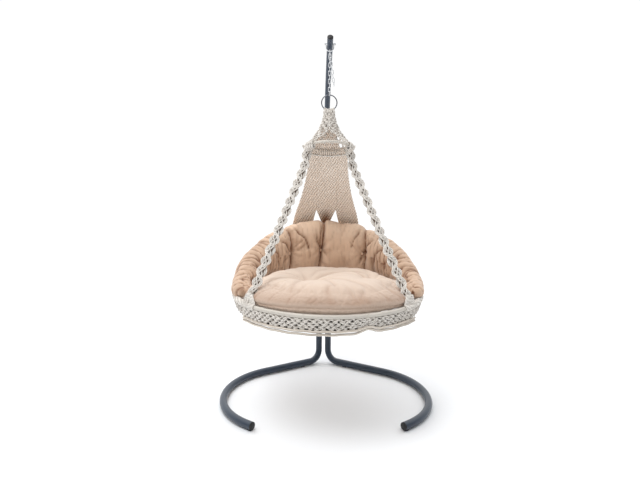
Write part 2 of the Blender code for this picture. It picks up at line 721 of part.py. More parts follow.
def build_panel():
    """A dense back panel that widens downwards, with two notches between three tongues."""
    line = eased(panel_line(), 2)
    line.insert(0, line[0] + np.array((0.0, NET_HEM)))
    rows = []
    for i, (radius, height) in enumerate(line):
        share = max(i - 1, 0) / (len(line) - 2)
        spread = PANEL_AZIMUTH + (PANEL_TOP_AZIMUTH - PANEL_AZIMUTH) * (1 - share) ** 2.5
        centre = TOP_Y + (SEAT_Y - TOP_Y) * share
        tilted = max(1 - 3 * share, 0.0)
        row = []
        for j in range(13):
            azimuth = pi - spread + 2 * spread * j / 12
            lean = hoop_point(azimuth) - polar(TOP_Y, TOP_HOOP_R, azimuth, TOP_HOOP_Z)
            row.append(polar(centre, radius, azimuth, height) + lean * tilted)
        rows.append(row)
    panel = surface("back_panel", np.array(rows), PANEL_COTTON, CORD_T)
    tip = SEAT_HOOP_Z + NOTCH_TOP
    low = SEAT_HOOP_Z - SEAT_HOOP_TUBE_R
    mid = SEAT_HOOP_Z + TONGUE_END

    def cut(bm):
        reach = SEAT_HOOP_R * 1.3
        shape = [(NOTCH_SIDE, tip), (TONGUE_HALF, mid), (-TONGUE_HALF, mid),
                 (-NOTCH_SIDE, tip), (-NOTCH_FOOT, low), (NOTCH_FOOT, low)]
        near = [bm.verts.new((x, SEAT_Y, z)) for x, z in shape]
        far = [bm.verts.new((x, SEAT_Y + reach, z)) for x, z in shape]
        bm.faces.new(near)
        bm.faces.new(far[::-1])
        for i in range(len(shape)):
            k = (i + 1) % len(shape)
            bm.faces.new((near[i], near[k], far[k], far[i]))

    notch = as_cutter(add("panel_notch", mesh_from("panel_notch", cut), None, cutters))
    boolean(panel, notch)


build_panel()

NET_EDGE_R = (SEAT_HOOP_R - SEAT_HOOP_TUBE_R * cos(pi / 8)) * cos(pi / HOOP_SIDES) - GAP
NET_RINGS = 4
# the net's flat facets stand this far above the curve of its dish
NET_FACET = SEAT_NET_SAG * (0.25 / NET_RINGS ** 2 + 2 * (1 - cos(pi / HOOP_SIDES)))


def net_height(radius):
    """Middle of the seat net's thickness at a distance from its centre."""
    return SEAT_HOOP_Z - SEAT_NET_SAG * (1 - (radius / NET_EDGE_R) ** 2)


def build_seat_net():
    """A shallow dish of net inside the seat hoop, closed at the middle."""
    radii = [NET_EDGE_R * i / NET_RINGS for i in range(NET_RINGS + 1)]
    profile = [(radius, net_height(radius) + CORD_T / 2) for radius in radii]
    profile += [(radius, net_height(radius) - CORD_T / 2) for radius in radii[::-1]]
    turned("seat_net", profile, Vector((0, SEAT_Y, 0)), (0, 0, 1), COTTON, HOOP_SIDES)


build_seat_net()


def build_skirt():
    """A band of lattice under the front of the seat hoop, from rope to rope."""
    top = SEAT_HOOP_Z - SEAT_HOOP_TUBE_R - GAP
    rows = []
    for i in range(3):
        depth = SKIRT_DEPTH * i / 2
        rows.append([
            polar(SEAT_Y, SEAT_HOOP_R - 0.1 * depth, -SKIRT_AZIMUTH + 2 * SKIRT_AZIMUTH * j / SKIRT_STEPS,
                  top - depth)
            for j in range(SKIRT_STEPS + 1)
        ])
    surface("skirt", np.array(rows), COTTON, CORD_T)


build_skirt()

# ---------------------------------------------------------------- cushions


def cushion_top(share):
    """Height of the round cushion's top above its seam at a share of its radius."""
    return CUSHION_CROWN * (1 - share ** 2.6) ** 0.6


def build_cushion():
    """A round pad, crowned on top, that follows the net's dish underneath."""
    centre_y = SEAT_Y - CUSHION_FORWARD
    seam = SEAT_HOOP_Z + CUSHION_SEAM

    def build(bm):
        spokes, rings = 28, 6
        shares = [1.0, 0.96, 0.84, 0.65, 0.45, 0.22]

        def point(share, spoke, top):
            angle = 2 * pi * spoke / spokes
            x = CUSHION_R * share * sin(angle)
            y = centre_y - CUSHION_R * share * cos(angle)
            if top:
                return Vector((x, y, seam + cushion_top(share)))
            rest = net_height(sqrt(x * x + (y - SEAT_Y) ** 2)) + CORD_T / 2 + NET_FACET + GAP
            fill = (1 - share ** CUSHION_FILL) ** 0.5
            return Vector((x, y, seam + (rest - seam) * fill))

        tops = [[bm.verts.new(point(s, j, True)) for j in range(spokes)] for s in shares]
        bottoms = [[bm.verts.new(point(s, j, False)) for j in range(spokes)] for s in shares[1:]]
        bottoms.insert(0, tops[0])
        for level in (tops, bottoms):
            for i in range(rings - 1):
                for j in range(spokes):
                    k = (j + 1) % spokes
                    bm.faces.new((level[i][j], level[i][k], level[i + 1][k], level[i + 1][j]))
            crown = bm.verts.new(point(0.0, 0, level is tops))
            for j in range(spokes):
                bm.faces.new((level[-1][j], level[-1][(j + 1) % spokes], crown))

    add("seat_cushion", mesh_from("seat_cushion", build), SEAT_FABRIC)


def bolster_section(azimuth):
    """Half thickness, half height, mid radius, mid height and inward lean of the bolster."""
    turn = min(abs(azimuth) / BOLSTER_SPREAD, 1.0)
    half_t = BOLSTER_HALF_T + (BOLSTER_END_HALF_T - BOLSTER_HALF_T) * turn ** 1.5
    fall = 0.5 + 0.5 * cos(pi * turn ** BOLSTER_FALL)
    height = BOLSTER_END_TOP + (BOLSTER_TOP - BOLSTER_END_TOP) * fall
    outer = SEAT_HOOP_R - BOLSTER_INSET - (BOLSTER_END_INSET - BOLSTER_INSET) * turn
    rest = net_height(outer - half_t) + CORD_T / 2 + NET_FACET + GAP
    rest += (SEAT_HOOP_Z + SEAT_HOOP_TUBE_R - rest) * turn
    half_h = (SEAT_HOOP_Z + height - rest) / 2
    mid_z = rest + half_h
    lean = radians(13.0) * (1 - turn) ** 0.7
    return half_t, half_h, outer - half_t, mid_z, lean


def build_bolster():
    """A horseshoe bolster on the back of the hoop, tallest behind and rounded off at its ends."""
    around = 12

    def build(bm):
        rings = []
        for i in range(BOLSTER_STATIONS + 1):
            share = 2 * i / BOLSTER_STATIONS - 1
            azimuth = BOLSTER_SPREAD * share
            half_t, half_h, mid_r, mid_z, lean = bolster_section(azimuth)
            ring = []
            for j in range(around):
                angle = 2 * pi * j / around
                out = half_t * np.sign(cos(angle)) * abs(cos(angle)) ** 0.8
                up = half_h * np.sign(sin(angle)) * abs(sin(angle)) ** 0.8
                radius = mid_r + out - max(up, 0.0) * sin(lean)
                ring.append(bm.verts.new(polar(SEAT_Y, radius, pi + azimuth, mid_z + up)))
            rings.append(ring)
        for first, second in zip(rings, rings[1:]):
            for j in range(around):
                k = (j + 1) % around
                bm.faces.new((first[j], first[k], second[k], second[j]))
        for ring, step in ((rings[0], -1), (rings[-1], 1)):
            azimuth = step * (BOLSTER_SPREAD + radians(2.5))
            _, _, mid_r, mid_z, _ = bolster_section(azimuth)
            nose = bm.verts.new(polar(SEAT_Y, mid_r, pi + azimuth, mid_z))
            for j in range(around):
                bm.faces.new((ring[j], ring[(j + 1) % around], nose))

    add("back_bolster", mesh_from("back_bolster", build), SEAT_FABRIC)


build_cushion()
build_bolster()


def button(name, centre, outward):
    """A covered button: a low dome with a flat back."""
    profile = [(0.0, BUTTON_T), (BUTTON_R * 0.6, BUTTON_T * 0.85), (BUTTON_R, BUTTON_T * 0.35),
               (BUTTON_R * 0.9, 0.0), (0.0, 0.0)]
    turned(name, profile, centre + outward * GAP, outward, SEAT_FABRIC, 10)


SEAT_BUTTONS = ((-0.099, 0.015), (0.222, -0.045))   # side and forward of the cushion's centre
for i, (side_x, forward) in enumerate(SEAT_BUTTONS):
    away = Vector((side_x, -forward, 0.0))
    share = away.length / CUSHION_R
    fall = (cushion_top(share - 0.05) - cushion_top(share + 0.05)) / (0.1 * CUSHION_R)
    button(f"seat_button_{i + 1}",
           Vector((side_x, SEAT_Y - CUSHION_FORWARD - forward,
                   SEAT_HOOP_Z + CUSHION_SEAM + cushion_top(share))),
           (Vector((0, 0, 1)) + away.normalized() * fall).normalized())

FACET = cos(BOLSTER_SPREAD / BOLSTER_STATIONS)       # a flat facet stands this far inside its arc


def inner_face(azimuth):
    """Point on the bolster's inner side, half way up."""
    half_t, _, mid_r, mid_z, _ = bolster_section(azimuth)
    return polar(SEAT_Y, (mid_r - half_t) * FACET - GAP, pi + azimuth, mid_z)


for i, degrees in enumerate((-36.5, 5.0, 38.0)):
    azimuth = radians(degrees)
    along = inner_face(azimuth + BUTTON_R) - inner_face(azimuth - BUTTON_R)
    level = Vector((-along.y, along.x, 0.0)).normalized()
    inward = (level - Vector((0, 0, BUTTON_TILT))).normalized()
    button(f"back_button_{i + 1}", inner_face(azimuth), inward)
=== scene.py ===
"""Looks of a macrame nest chair that hangs from a C-shaped steel floor stand.

Units are metres, +Z is up, the chair faces -Y. Cords, hoops and tubes are profiles carried
along paths; knotted work follows a rule on its surface; cushions are swollen by cloth.
"""

from math import acos, cos, pi, radians, sin, sqrt

import bpy
import numpy as np
from mathutils import Matrix, Vector


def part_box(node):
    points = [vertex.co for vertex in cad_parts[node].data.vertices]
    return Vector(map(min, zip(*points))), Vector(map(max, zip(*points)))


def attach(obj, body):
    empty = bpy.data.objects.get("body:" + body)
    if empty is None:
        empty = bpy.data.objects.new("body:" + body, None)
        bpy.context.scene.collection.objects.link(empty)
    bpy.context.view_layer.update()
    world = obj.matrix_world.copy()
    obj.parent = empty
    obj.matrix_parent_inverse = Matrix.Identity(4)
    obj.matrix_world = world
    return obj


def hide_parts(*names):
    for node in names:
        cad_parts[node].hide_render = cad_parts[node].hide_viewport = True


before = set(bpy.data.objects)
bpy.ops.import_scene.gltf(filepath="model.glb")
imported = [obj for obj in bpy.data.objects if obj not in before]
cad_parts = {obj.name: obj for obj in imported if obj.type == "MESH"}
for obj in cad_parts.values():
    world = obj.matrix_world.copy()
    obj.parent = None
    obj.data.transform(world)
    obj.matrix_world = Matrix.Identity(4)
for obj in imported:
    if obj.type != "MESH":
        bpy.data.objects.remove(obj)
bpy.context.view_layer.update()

# ---------------------------------------------------------------- dimensions shared with the part

LEG_R = 0.019
LEG_WALL = 0.002
RISER_LENGTH = 0.50
LEAN = radians(8.0)
HEEL_BEND_R = 0.068
SPLAY = radians(31.0)
RUN_LENGTH = 0.375
FOOT_ARC_R = 0.385
FOOT_ARC = radians(113.0)
FOOT_TAIL = 0.028
RISER_X = 0.0285
LEG_Z = 0.0215
POLE_R = 0.016
POLE_FOOT = 0.25
POLE_STRAIGHT = 0.591
POLE_ARC_R = 1.300
TIP_PITCH = radians(31.0)
TIP_TAIL = 0.022
PRESS_T = 0.0184
PRESS_END = 0.515
PRESS_EASE = 0.07
ORIGIN_D = 0.47175
HOOP_TILT = radians(11.0)
TOP_HOOP_R = 0.115
TOP_TUBE_R = 0.0075
SEAT_HOOP_R = 0.476
SEAT_TUBE_R = 0.010
RING_R = 0.041
RING_WIRE_R = 0.003
NECK_R = 0.028
ROPE_AZIMUTH = radians(52.0)
BARE_AZIMUTH = radians(50.0)        # the seat hoop is bare in front as far round as this
NET_SAG = 0.045
CUSHION_R = 0.372
CUSHION_FORWARD = 0.088
CUSHION_SEAM = 0.040
CUSHION_CROWN = 0.068
BOLSTER_SPREAD = radians(111.0)
TUBE_SIDES = 32
POLE_WALL = 0.002
STIRRUP_WIRE = 0.003
MASTER_LINK = (0.002, 0.026, 0.019)         # wire radius, inner length, inner width
CHAIN_LINK = (0.0018, 0.0219, 0.0072)
SPARE_LEAN = radians(8.0)

# radii of the cords
ROPE_CORD = 0.0039
ROPE_KNOT = 0.055                   # length of one knot of a rope
FAN_CORD = 0.0034
BELL_CORD = 0.0031
SHOULDER_CORD = 0.0031
HITCH_CORD = 0.0024
TOP_WRAP_CORD = 0.0026
SEAT_WRAP_CORD = 0.0030
PANEL_LOOP_CORD = 0.0040
RIDGE_CORD = 0.0050
DISH_CORD = 0.0026
SKIRT_CORD = 0.0034
BAND_CORD = 0.0031
HEM_CORD = 0.0052

UP = np.array((0.0, 0.0, 1.0))
FRONT = np.array((0.0, -1.0, 0.0))
SIDE = np.array((1.0, 0.0, 0.0))
HANDS = ((-1, "left"), (1, "right"))


def middle(node):
    """The middle of a node's box."""
    low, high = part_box(node)
    return np.array((low + high) / 2)


RING = middle("hanging_ring")
TOP = middle("top_hoop")
SEAT = middle("seat_hoop")
TOP[0] = 0.0
SEAT[0] = 0.0

# ---------------------------------------------------------------- finishes


class Wire:
    """A node's output. It takes plain arithmetic, each step one Math node."""

    def __init__(self, nodes, socket):
        self.nodes = nodes
        self.socket = socket

    def math(self, operation, *values):
        """One Math node over values or wires."""
        return self.nodes.node("Math", {"operation": operation}, dict(enumerate(values)))

    def sine(self):
        return self.math("SINE", self)

    def __add__(self, other):
        return self.math("ADD", self, other)

    def __radd__(self, other):
        return self.math("ADD", other, self)

    def __sub__(self, other):
        return self.math("SUBTRACT", self, other)

    def __rsub__(self, other):
        return self.math("SUBTRACT", other, self)

    def __mul__(self, other):
        return self.math("MULTIPLY", self, other)

    def __rmul__(self, other):
        return self.math("MULTIPLY", other, self)

    def __pow__(self, other):
        return self.math("POWER", self, other)


class Nodes:
    """One node tree. Each method adds a node and gives its output as a wire."""

    def __init__(self, tree):
        self.tree = tree

    def node(self, kind, settings=None, values=None, out=0):
        """Any node: its settings or a ramp's stops first, then its sockets' values or wires."""
        made = self.tree.nodes.new("ShaderNode" + kind)
        for key, value in (settings or {}).items():
            if key == "stops":
                ramp = made.color_ramp.elements
                for i, (at, colour) in enumerate(value):
                    step = ramp[i] if i < 2 else ramp.new(at)
                    step.position = at
                    step.color = (*colour, 1.0)
            else:
                setattr(made, key, value)
        for key, value in (values or {}).items():
            socket = made.inputs[key]
            if isinstance(value, Wire):
                self.tree.links.new(value.socket, socket)
            else:
                socket.default_value = value
        return Wire(self, made.outputs[out])

    def coordinates(self, which="Object"):
        return self.node("TexCoord", out=which)

    def parts(self, vector):
        """The three numbers of a vector."""
        split = self.node("SeparateXYZ", {}, {0: vector})
        return [Wire(self, socket) for socket in split.socket.node.outputs]

    def noise(self, at, scale, detail=3.0, rough=0.5):
        return self.node("TexNoise", {}, {"Vector": at, "Scale": scale, "Detail": detail,
                                          "Roughness": rough})

    def ramp(self, value, *stops):
        return self.node("ValToRGB", {"stops": stops}, {0: value})

    def mix(self, share, first, second):
        return self.node("Mix", {"data_type": "RGBA"}, {0: share, 6: first, 7: second}, out=2)


class Finish(Nodes):
    """One material: its shader's fixed values, and the nodes behind what varies."""

    def __init__(self, name, **fixed):
        self.material = bpy.data.materials.new(name)
        self.material.use_nodes = True
        super().__init__(self.material.node_tree)
        self.shader = self.tree.nodes["Principled BSDF"]
        for key, value in fixed.items():
            self.shader.inputs[key.replace("_", " ")].default_value = value

    def shaded(self, colour, deep):
        """The colour, turned to the deep one as far as the piece's own shade says."""
        return self.mix(self.node("Attribute", {"attribute_name": "shade"}, out=2), colour, deep)

    def feed(self, colour, roughness, height=None, strength=0.3, distance=0.001):
        """Links what varies to the shader, the height by way of a bump."""
        self.tree.links.new(colour.socket, self.shader.inputs["Base Color"])
        self.tree.links.new(roughness.socket, self.shader.inputs["Roughness"])
        if height is not None:
            bump = self.node("Bump", {}, {"Strength": strength, "Distance": distance,
                                          "Height": height})
            self.tree.links.new(bump.socket, self.shader.inputs["Normal"])
        return self.material


def rgb(*levels):
    """A shader colour from screen levels of 0 to 255."""
    return (*(((v / 255 + 0.055) / 1.055) ** 2.4 if v > 10 else v / 3294 for v in levels), 1.0)


def hard_coat(name, colours, rough, cloud, grain, strength, distance, **fixed):
    """A hard finish: two colours and the roughness follow one cloudy noise, and a fine
    second noise is its grain. rough is the least roughness and how much the clouds add;
    cloud is a noise's scale and detail, and so is grain."""
    made = Finish(name, **fixed)
    at = made.coordinates()
    clouds = made.noise(at, *cloud)
    return made.feed(made.mix(clouds, *colours), clouds * rough[1] + rough[0],
                     made.noise(at, *grain), strength, distance)


def hoop_paint():
    """Cream lacquer over steel, with soft brush waves and faint rub marks."""
    made = Finish("hoop_paint", Coat_Weight=0.25, Coat_Roughness=0.25)
    at = made.coordinates()
    cloud = made.noise(at, 9.0)
    rub = made.ramp(made.noise(at, 60.0, 5.0), (0.62, (0, 0, 0)), (0.78, (1, 1, 1)))
    # the cream is set darker than lit lacquer: partly its own colour, partly painted shade for the
    # large hoop
    base = made.mix(cloud, rgb(196, 189, 179), rgb(207, 201, 191))
    return made.feed(made.mix(rub, base, rgb(178, 169, 156)), cloud * 0.15 + 0.34,
                     made.noise(at, 120.0), 0.15, 0.0006)


def cotton(name, light, dark, crevice_shade, lay):
    """Plied cotton cord: three plies wound round it, fuzz, and painted shade in its crevices."""
    made = Finish(name, Specular_IOR_Level=0.2, Sheen_Weight=0.25, Sheen_Roughness=0.6)
    at = made.coordinates()
    turn, along, _ = made.parts(made.coordinates("UV"))
    ply = (turn * (6 * pi) + along * (2 * pi / lay)).sine() * 0.5 + 0.5
    fuzz = made.noise(at, 1400.0, 3.0, 0.7)
    patch = made.noise(at, 18.0)
    base = made.mix(patch, light, dark)
    # painted shade: darker between the plies, and in crevices by the shade attribute
    base = made.shaded(made.mix((1 - ply) ** 2.0 * 0.45, base, crevice_shade), crevice_shade)
    return made.feed(base, patch * 0.08 + 0.86, ply * 0.8 + fuzz * 0.5, 0.75, 0.0008)


def knotted_cloth(name, crevice_shade):
    """Close-knotted cotton: small cords whose crevices darken by shade, patchy and fuzzy."""
    made = Finish(name, Specular_IOR_Level=0.2, Sheen_Weight=0.25, Sheen_Roughness=0.6)
    at = made.coordinates()
    fuzz = made.noise(at, 900.0, 3.0, 0.7)
    patch = made.noise(at, 14.0)
    thread = made.noise(at, 260.0, 3.0, 0.6)
    base = made.mix(patch, rgb(250, 242, 232), rgb(241, 230, 217))
    # painted shade: crevices turn to the crevice colour by the shade attribute
    base = made.shaded(made.mix(thread * 0.3, base, rgb(214, 194, 174)), crevice_shade)
    return made.feed(base, patch * 0.08 + 0.86, thread + fuzz * 0.5, 0.6, 0.0010)


def woven_fabric(name, light, dark, slubs, fold):
    """Brushed cotton: a plain weave of fine threads, soft slubs and faint creases."""
    made = Finish(name, Specular_IOR_Level=0.25, Sheen_Weight=0.35, Sheen_Roughness=0.5)
    at = made.coordinates()
    x, y, z = made.parts(at)
    threads = 5200.0
    weft = ((x + z * 0.6) * threads).sine()
    warp = ((y - z * 0.6) * threads).sine()
    plain = weft * warp * 0.5 + 0.5
    slub = made.noise(at, 260.0, 4.0, 0.6)
    cloud = made.noise(at, 7.0, 4.0)
    crease = made.noise(at, 42.0, 5.0, 0.65)
    base = made.mix(cloud, light, dark)
    # painted shade: by the shade attribute the colour turns to the fold colour
    base = made.shaded(made.mix(slub * 0.3, base, slubs), fold)
    return made.feed(base, cloud * 0.1 + 0.76, plain * 0.12 + slub * 0.35 + crease * 1.2,
                     0.35, 0.0014)


# blue-grey powder coat: fine orange peel, faint mottle and dulled patches
POWDER = hard_coat("powder_coat", (rgb(43, 54, 68), rgb(56, 68, 84)), (0.24, 0.14), (14.0, 3.0),
                   (900.0, 2.0), 0.25, 0.0004, Specular_IOR_Level=0.5)
# black moulded plastic with a fine spark-eroded grain
PLASTIC = hard_coat("black_plastic", (rgb(20, 20, 22), rgb(34, 34, 36)), (0.38, 0.2),
                    (40.0, 3.0), (1600.0, 2.0), 0.3, 0.0003, Specular_IOR_Level=0.45)
# bright zinc plate with a cloudy film and fine scratches
ZINC = hard_coat("zinc", (rgb(206, 209, 212), rgb(232, 233, 234)), (0.26, 0.25), (160.0, 4.0),
                 (2600.0, 2.0), 0.2, 0.0002, Metallic=0.6)
# oiled dark steel with worn lighter patches
STEEL = hard_coat("dark_steel", (rgb(76, 78, 84), rgb(132, 134, 140)), (0.2, 0.3), (220.0, 4.0),
                  (3000.0, 2.0), 0.2, 0.0002, Metallic=1.0)
PAINT = hoop_paint()
CORD = cotton("cotton_cord", rgb(245, 241, 235), rgb(236, 230, 221), rgb(92, 68, 48), 0.016)
HEM = cotton("hem_cord", rgb(226, 217, 205), rgb(216, 206, 193), rgb(92, 68, 48), 0.5)
PANEL = knotted_cloth("panel_cord", rgb(128, 92, 64))
# near-black copy of the knotted cloth, for a sheet wholly in painted shade
SHADE_LINING = knotted_cloth("shaded_cord", rgb(52, 42, 36))
# Seat and bolster wear one fabric in two copies that differ by painted light: the seat's greyer,
# as on its lit top, and the bolster's warmer and more saturated, as in shade. The last colour of
# each is its painted shade in folds.
FABRIC = woven_fabric("seat_fabric", rgb(230, 213, 198), rgb(222, 203, 186), rgb(202, 174, 150),
                      rgb(142, 98, 68))
BACK_FABRIC = woven_fabric("bolster_fabric", rgb(238, 210, 185), rgb(231, 200, 173),
                           rgb(204, 166, 134), rgb(118, 74, 46))

# ---------------------------------------------------------------- surfaces


def within(values):
    """The values, kept between 0 and 1."""
    return np.clip(values, 0.0, 1.0)


def unit(vectors):
    """The same directions, one long."""
    return vectors / np.linalg.norm(vectors, axis=-1, keepdims=True)


def added(name, data):
    """A new object in the scene."""
    obj = bpy.data.objects.new(name, data)
    bpy.context.scene.collection.objects.link(obj)
    return obj


def piece(name, verts, quads, ends, finish, uv=None, shade=None):
    """An object from arrays: quads, and ends as equal-sided closing faces."""
    mesh = bpy.data.meshes.new(name)
    quads = np.asarray(quads).reshape(-1, 4)
    ends = np.asarray(ends, int)
    ends = ends.reshape(-1, ends.shape[-1]) if ends.size else np.zeros((0, 3), int)
    loops = np.concatenate([quads.ravel(), ends.ravel()])
    sizes = np.concatenate([np.full(len(quads), 4), np.full(len(ends), ends.shape[1])])
    mesh.vertices.add(len(verts))
    mesh.vertices.foreach_set("co", np.ascontiguousarray(verts, np.float32).ravel())
    mesh.loops.add(len(loops))
    mesh.loops.foreach_set("vertex_index", loops.astype(np.int32))
    mesh.polygons.add(len(sizes))
    starts = np.concatenate([[0], np.cumsum(sizes)[:-1]])
    mesh.polygons.foreach_set("loop_start", starts.astype(np.int32))
    mesh.update(calc_edges=True)
    if uv is not None:
        layer = mesh.uv_layers.new(name="along")
        flat = np.zeros((len(loops), 2), np.float32)
        flat[:len(uv)] = uv
        layer.data.foreach_set("uv", flat.ravel())
    if shade is not None:
        layer = mesh.attributes.new("shade", "FLOAT", "POINT")
        layer.data.foreach_set("value", np.ascontiguousarray(shade, np.float32).ravel())
    mesh.validate()
    mesh.shade_smooth()
    mesh.set_sharp_from_angle(angle=radians(50.0))
    mesh.materials.append(finish)
    return added(name, mesh)


def skin(name, grid, finish, looped=False, shade=None):
    """Separate tubes in one mesh. grid is tubes x stations x sides x 3, sides turning
    right-handed about the way ahead; ends are closed unless the tubes are looped. shade is
    one number, or one for each station or point."""
    tubes, stations, sides = grid.shape[:3]
    c, i, j = np.meshgrid(np.arange(tubes), np.arange(stations - (not looped)),
                          np.arange(sides), indexing="ij")

    def at(station, side):
        return (c * stations + station % stations) * sides + side % sides

    quads = np.stack([at(i, j), at(i, j + 1), at(i + 1, j + 1), at(i + 1, j)], -1)
    middles = grid.mean(2)
    steps = np.linalg.norm(np.diff(middles, axis=1), axis=-1)
    metres = np.concatenate([np.zeros((tubes, 1)), np.cumsum(steps, 1)], 1)
    metres = np.concatenate([metres, metres[:, -1:] + steps[:, -1:]], 1)
    near, far = metres[c, i], metres[c, i + 1]
    uv = np.stack([np.stack([j / sides, near], -1), np.stack([(j + 1) / sides, near], -1),
                   np.stack([(j + 1) / sides, far], -1), np.stack([j / sides, far], -1)], -2)
    ends = []
    if not looped:
        first = np.arange(tubes)[:, None] * stations * sides + np.arange(sides)[None]
        ends = np.concatenate([first[:, ::-1], first + (stations - 1) * sides])
    if shade is not None:
        shade = np.broadcast_to(np.asarray(shade)[..., None] if np.ndim(shade) == 2 else shade,
                                (tubes, stations, sides))
    return piece(name, grid.reshape(-1, 3), quads, ends, finish, uv.reshape(-1, 2), shade)


def carried(paths, radius, sides, looped=False):
    """Grid of round sections carried along paths (tubes x stations x 3). The section keeps
    its turn by dropping, at each station, what of its normal lies along the way ahead."""
    paths = np.asarray(paths, float)
    if looped:
        ahead = unit(np.roll(paths, -1, 1) - np.roll(paths, 1, 1))
    else:
        ahead = unit(np.gradient(paths, axis=1))
    seed = np.where(np.abs(ahead[:, :1, 2:]) < 0.9, UP, SIDE)[:, 0]
    normal = np.empty_like(paths)
    now = unit(np.cross(ahead[:, 0], seed))
    for i in range(paths.shape[1]):
        now = unit(now - (now * ahead[:, i]).sum(-1, keepdims=True) * ahead[:, i])
        normal[:, i] = now
    across = np.cross(ahead, normal)
    angle = 2 * pi * np.arange(sides)[:, None] / sides
    radius = np.broadcast_to(np.asarray(radius, float), paths.shape[:2])[..., None, None]
    return paths[:, :, None] + radius * (np.cos(angle) * normal[:, :, None]
                                         + np.sin(angle) * across[:, :, None])


def lipped(grid, wall, depth):
    """The same tube with both ends turned inwards over its wall, as a cut tube shows."""

    # an end ring drawn in by the wall, at the cut and further down the bore
    def inner(ring, onward):
        arm = ring - ring.mean(0)
        small = ring.mean(0) + arm * (1 - wall / np.linalg.norm(arm, axis=-1, keepdims=True))
        return [small + onward * depth, small]

    start = unit(grid[1].mean(0) - grid[0].mean(0))
    stop = unit(grid[-2].mean(0) - grid[-1].mean(0))
    return np.concatenate([np.array(inner(grid[0], start)), grid,
                           np.array(inner(grid[-1], stop)[::-1])])


def arc(centre, start, normal, angle, count):
    """Points that turn start about a line through centre, both ends included."""
    t = np.linspace(0.0, angle, count + 1)[:, None]
    arm = start - centre
    return (centre + arm * np.cos(t) + np.cross(normal, arm) * np.sin(t)
            + normal * (normal @ arm) * (1 - np.cos(t)))


def straight(a, b, count):
    """Evenly spread points from a to b, without b."""
    t = np.arange(count)[:, None] / count
    return a + (b - a) * t


def fillet(before, corner, after, radius, count):
    """An arc of this radius that rounds the corner between two straight runs."""
    u, v = unit(before - corner), unit(after - corner)
    half = acos(u @ v) / 2
    start = corner + u * radius * cos(half) / sin(half)
    centre = corner + unit(u + v) * radius / sin(half)
    return arc(centre, start, unit(np.cross(v, u)), pi - 2 * half, count)


def circle(centre, radius, first, second, count):
    """A full round through centre + radius * first, turning towards second."""
    t = 2 * pi * np.arange(count)[:, None] / count
    return centre + radius * (np.cos(t) * first + np.sin(t) * second)


def ridden(obj, body, *nodes):
    """Puts a finished piece on its body, and hides the nodes it stands for."""
    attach(obj, body)
    if nodes:
        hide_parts(*nodes)


def laid(name, paths, radius, sides, *nodes, finish=CORD, shade=None, looped=False, body="seat"):
    """One piece of round cords, wires or bars that are carried along paths."""
    grid = carried(paths, radius, sides, looped)
    ridden(skin(name, grid, finish, looped, shade), body, *nodes)


# ---------------------------------------------------------------- stand


def place(forward, up, side=0.0):
    """Point from its distance forward of the risers' feet, its height and its side."""
    return np.array((side, ORIGIN_D - forward, up))


RISER_UP = np.array((0.0, sin(LEAN), cos(LEAN)))


def leg_path(side):
    """Down the riser, round the heel, out along the run and round the curled foot."""
    top = place(-RISER_LENGTH * sin(LEAN), LEG_Z + RISER_LENGTH * cos(LEAN), side * RISER_X)
    corner = place(0.0, LEG_Z, side * RISER_X)
    out = np.array((side * cos(SPLAY), -sin(SPLAY), 0.0))
    run_end = corner + out * RUN_LENGTH
    inward = np.array((-side * sin(SPLAY), -cos(SPLAY), 0.0))
    centre = run_end + inward * FOOT_ARC_R
    heel = fillet(top, corner, run_end, HEEL_BEND_R, 16)
    curl = arc(centre, run_end, -side * UP, FOOT_ARC, 56)
    end = unit(curl[-1] - curl[-2])
    return np.concatenate([straight(top, heel[0], 6), heel, straight(heel[-1], run_end, 6)[1:],
                           curl, [curl[-1] + end * FOOT_TAIL]])


def cap(name, end, onward, radius, node):
    """A domed plug: a rolled flange, then a crown whose rise is a sine and whose width is a
    cosine of the way to its middle."""
    t = np.array((0.0, 0.25, 0.6, 1.0))
    rise = np.concatenate([[-0.004, 0.0003, 0.0012], 0.0035 + 0.0035 * np.sin(t * pi / 2)])
    width = np.concatenate([[0.8, 0.97, 1.0], np.cos(t * pi / 2 * 0.96)]) * radius
    line = end + onward * np.linspace(0, 1, len(rise))[:, None]
    flat = carried(line[None], 1.0, TUBE_SIDES)[0]
    shape = flat - flat.mean(1, keepdims=True)
    grid = (end + onward * rise[:, None])[:, None] + shape * width[:, None, None]
    ridden(skin(name, grid[None], PLASTIC), "stand", node)


for side, word in HANDS:
    path = leg_path(side)
    tube = lipped(carried(path[None], LEG_R, TUBE_SIDES)[0], LEG_WALL, 0.02)
    ridden(skin("base_tube_" + word, tube[None], POWDER), "stand", "leg_" + word)
    cap("toe_cap_" + word, path[-1], unit(path[-1] - path[-2]), LEG_R, "foot_cap_" + word)
    cap("riser_plug_" + word, path[0], RISER_UP, LEG_R, "riser_cap_" + word)


def pole_point(rise):
    """(forward, up) on the pole's arc where the tube rises at this angle from level."""
    back = pi / 2 + LEAN
    foot = (-POLE_STRAIGHT * sin(LEAN), LEG_Z + POLE_STRAIGHT * cos(LEAN))
    centre = (foot[0] + POLE_ARC_R * sin(back), foot[1] - POLE_ARC_R * cos(back))
    return centre[0] - POLE_ARC_R * np.sin(rise), centre[1] + POLE_ARC_R * np.cos(rise)


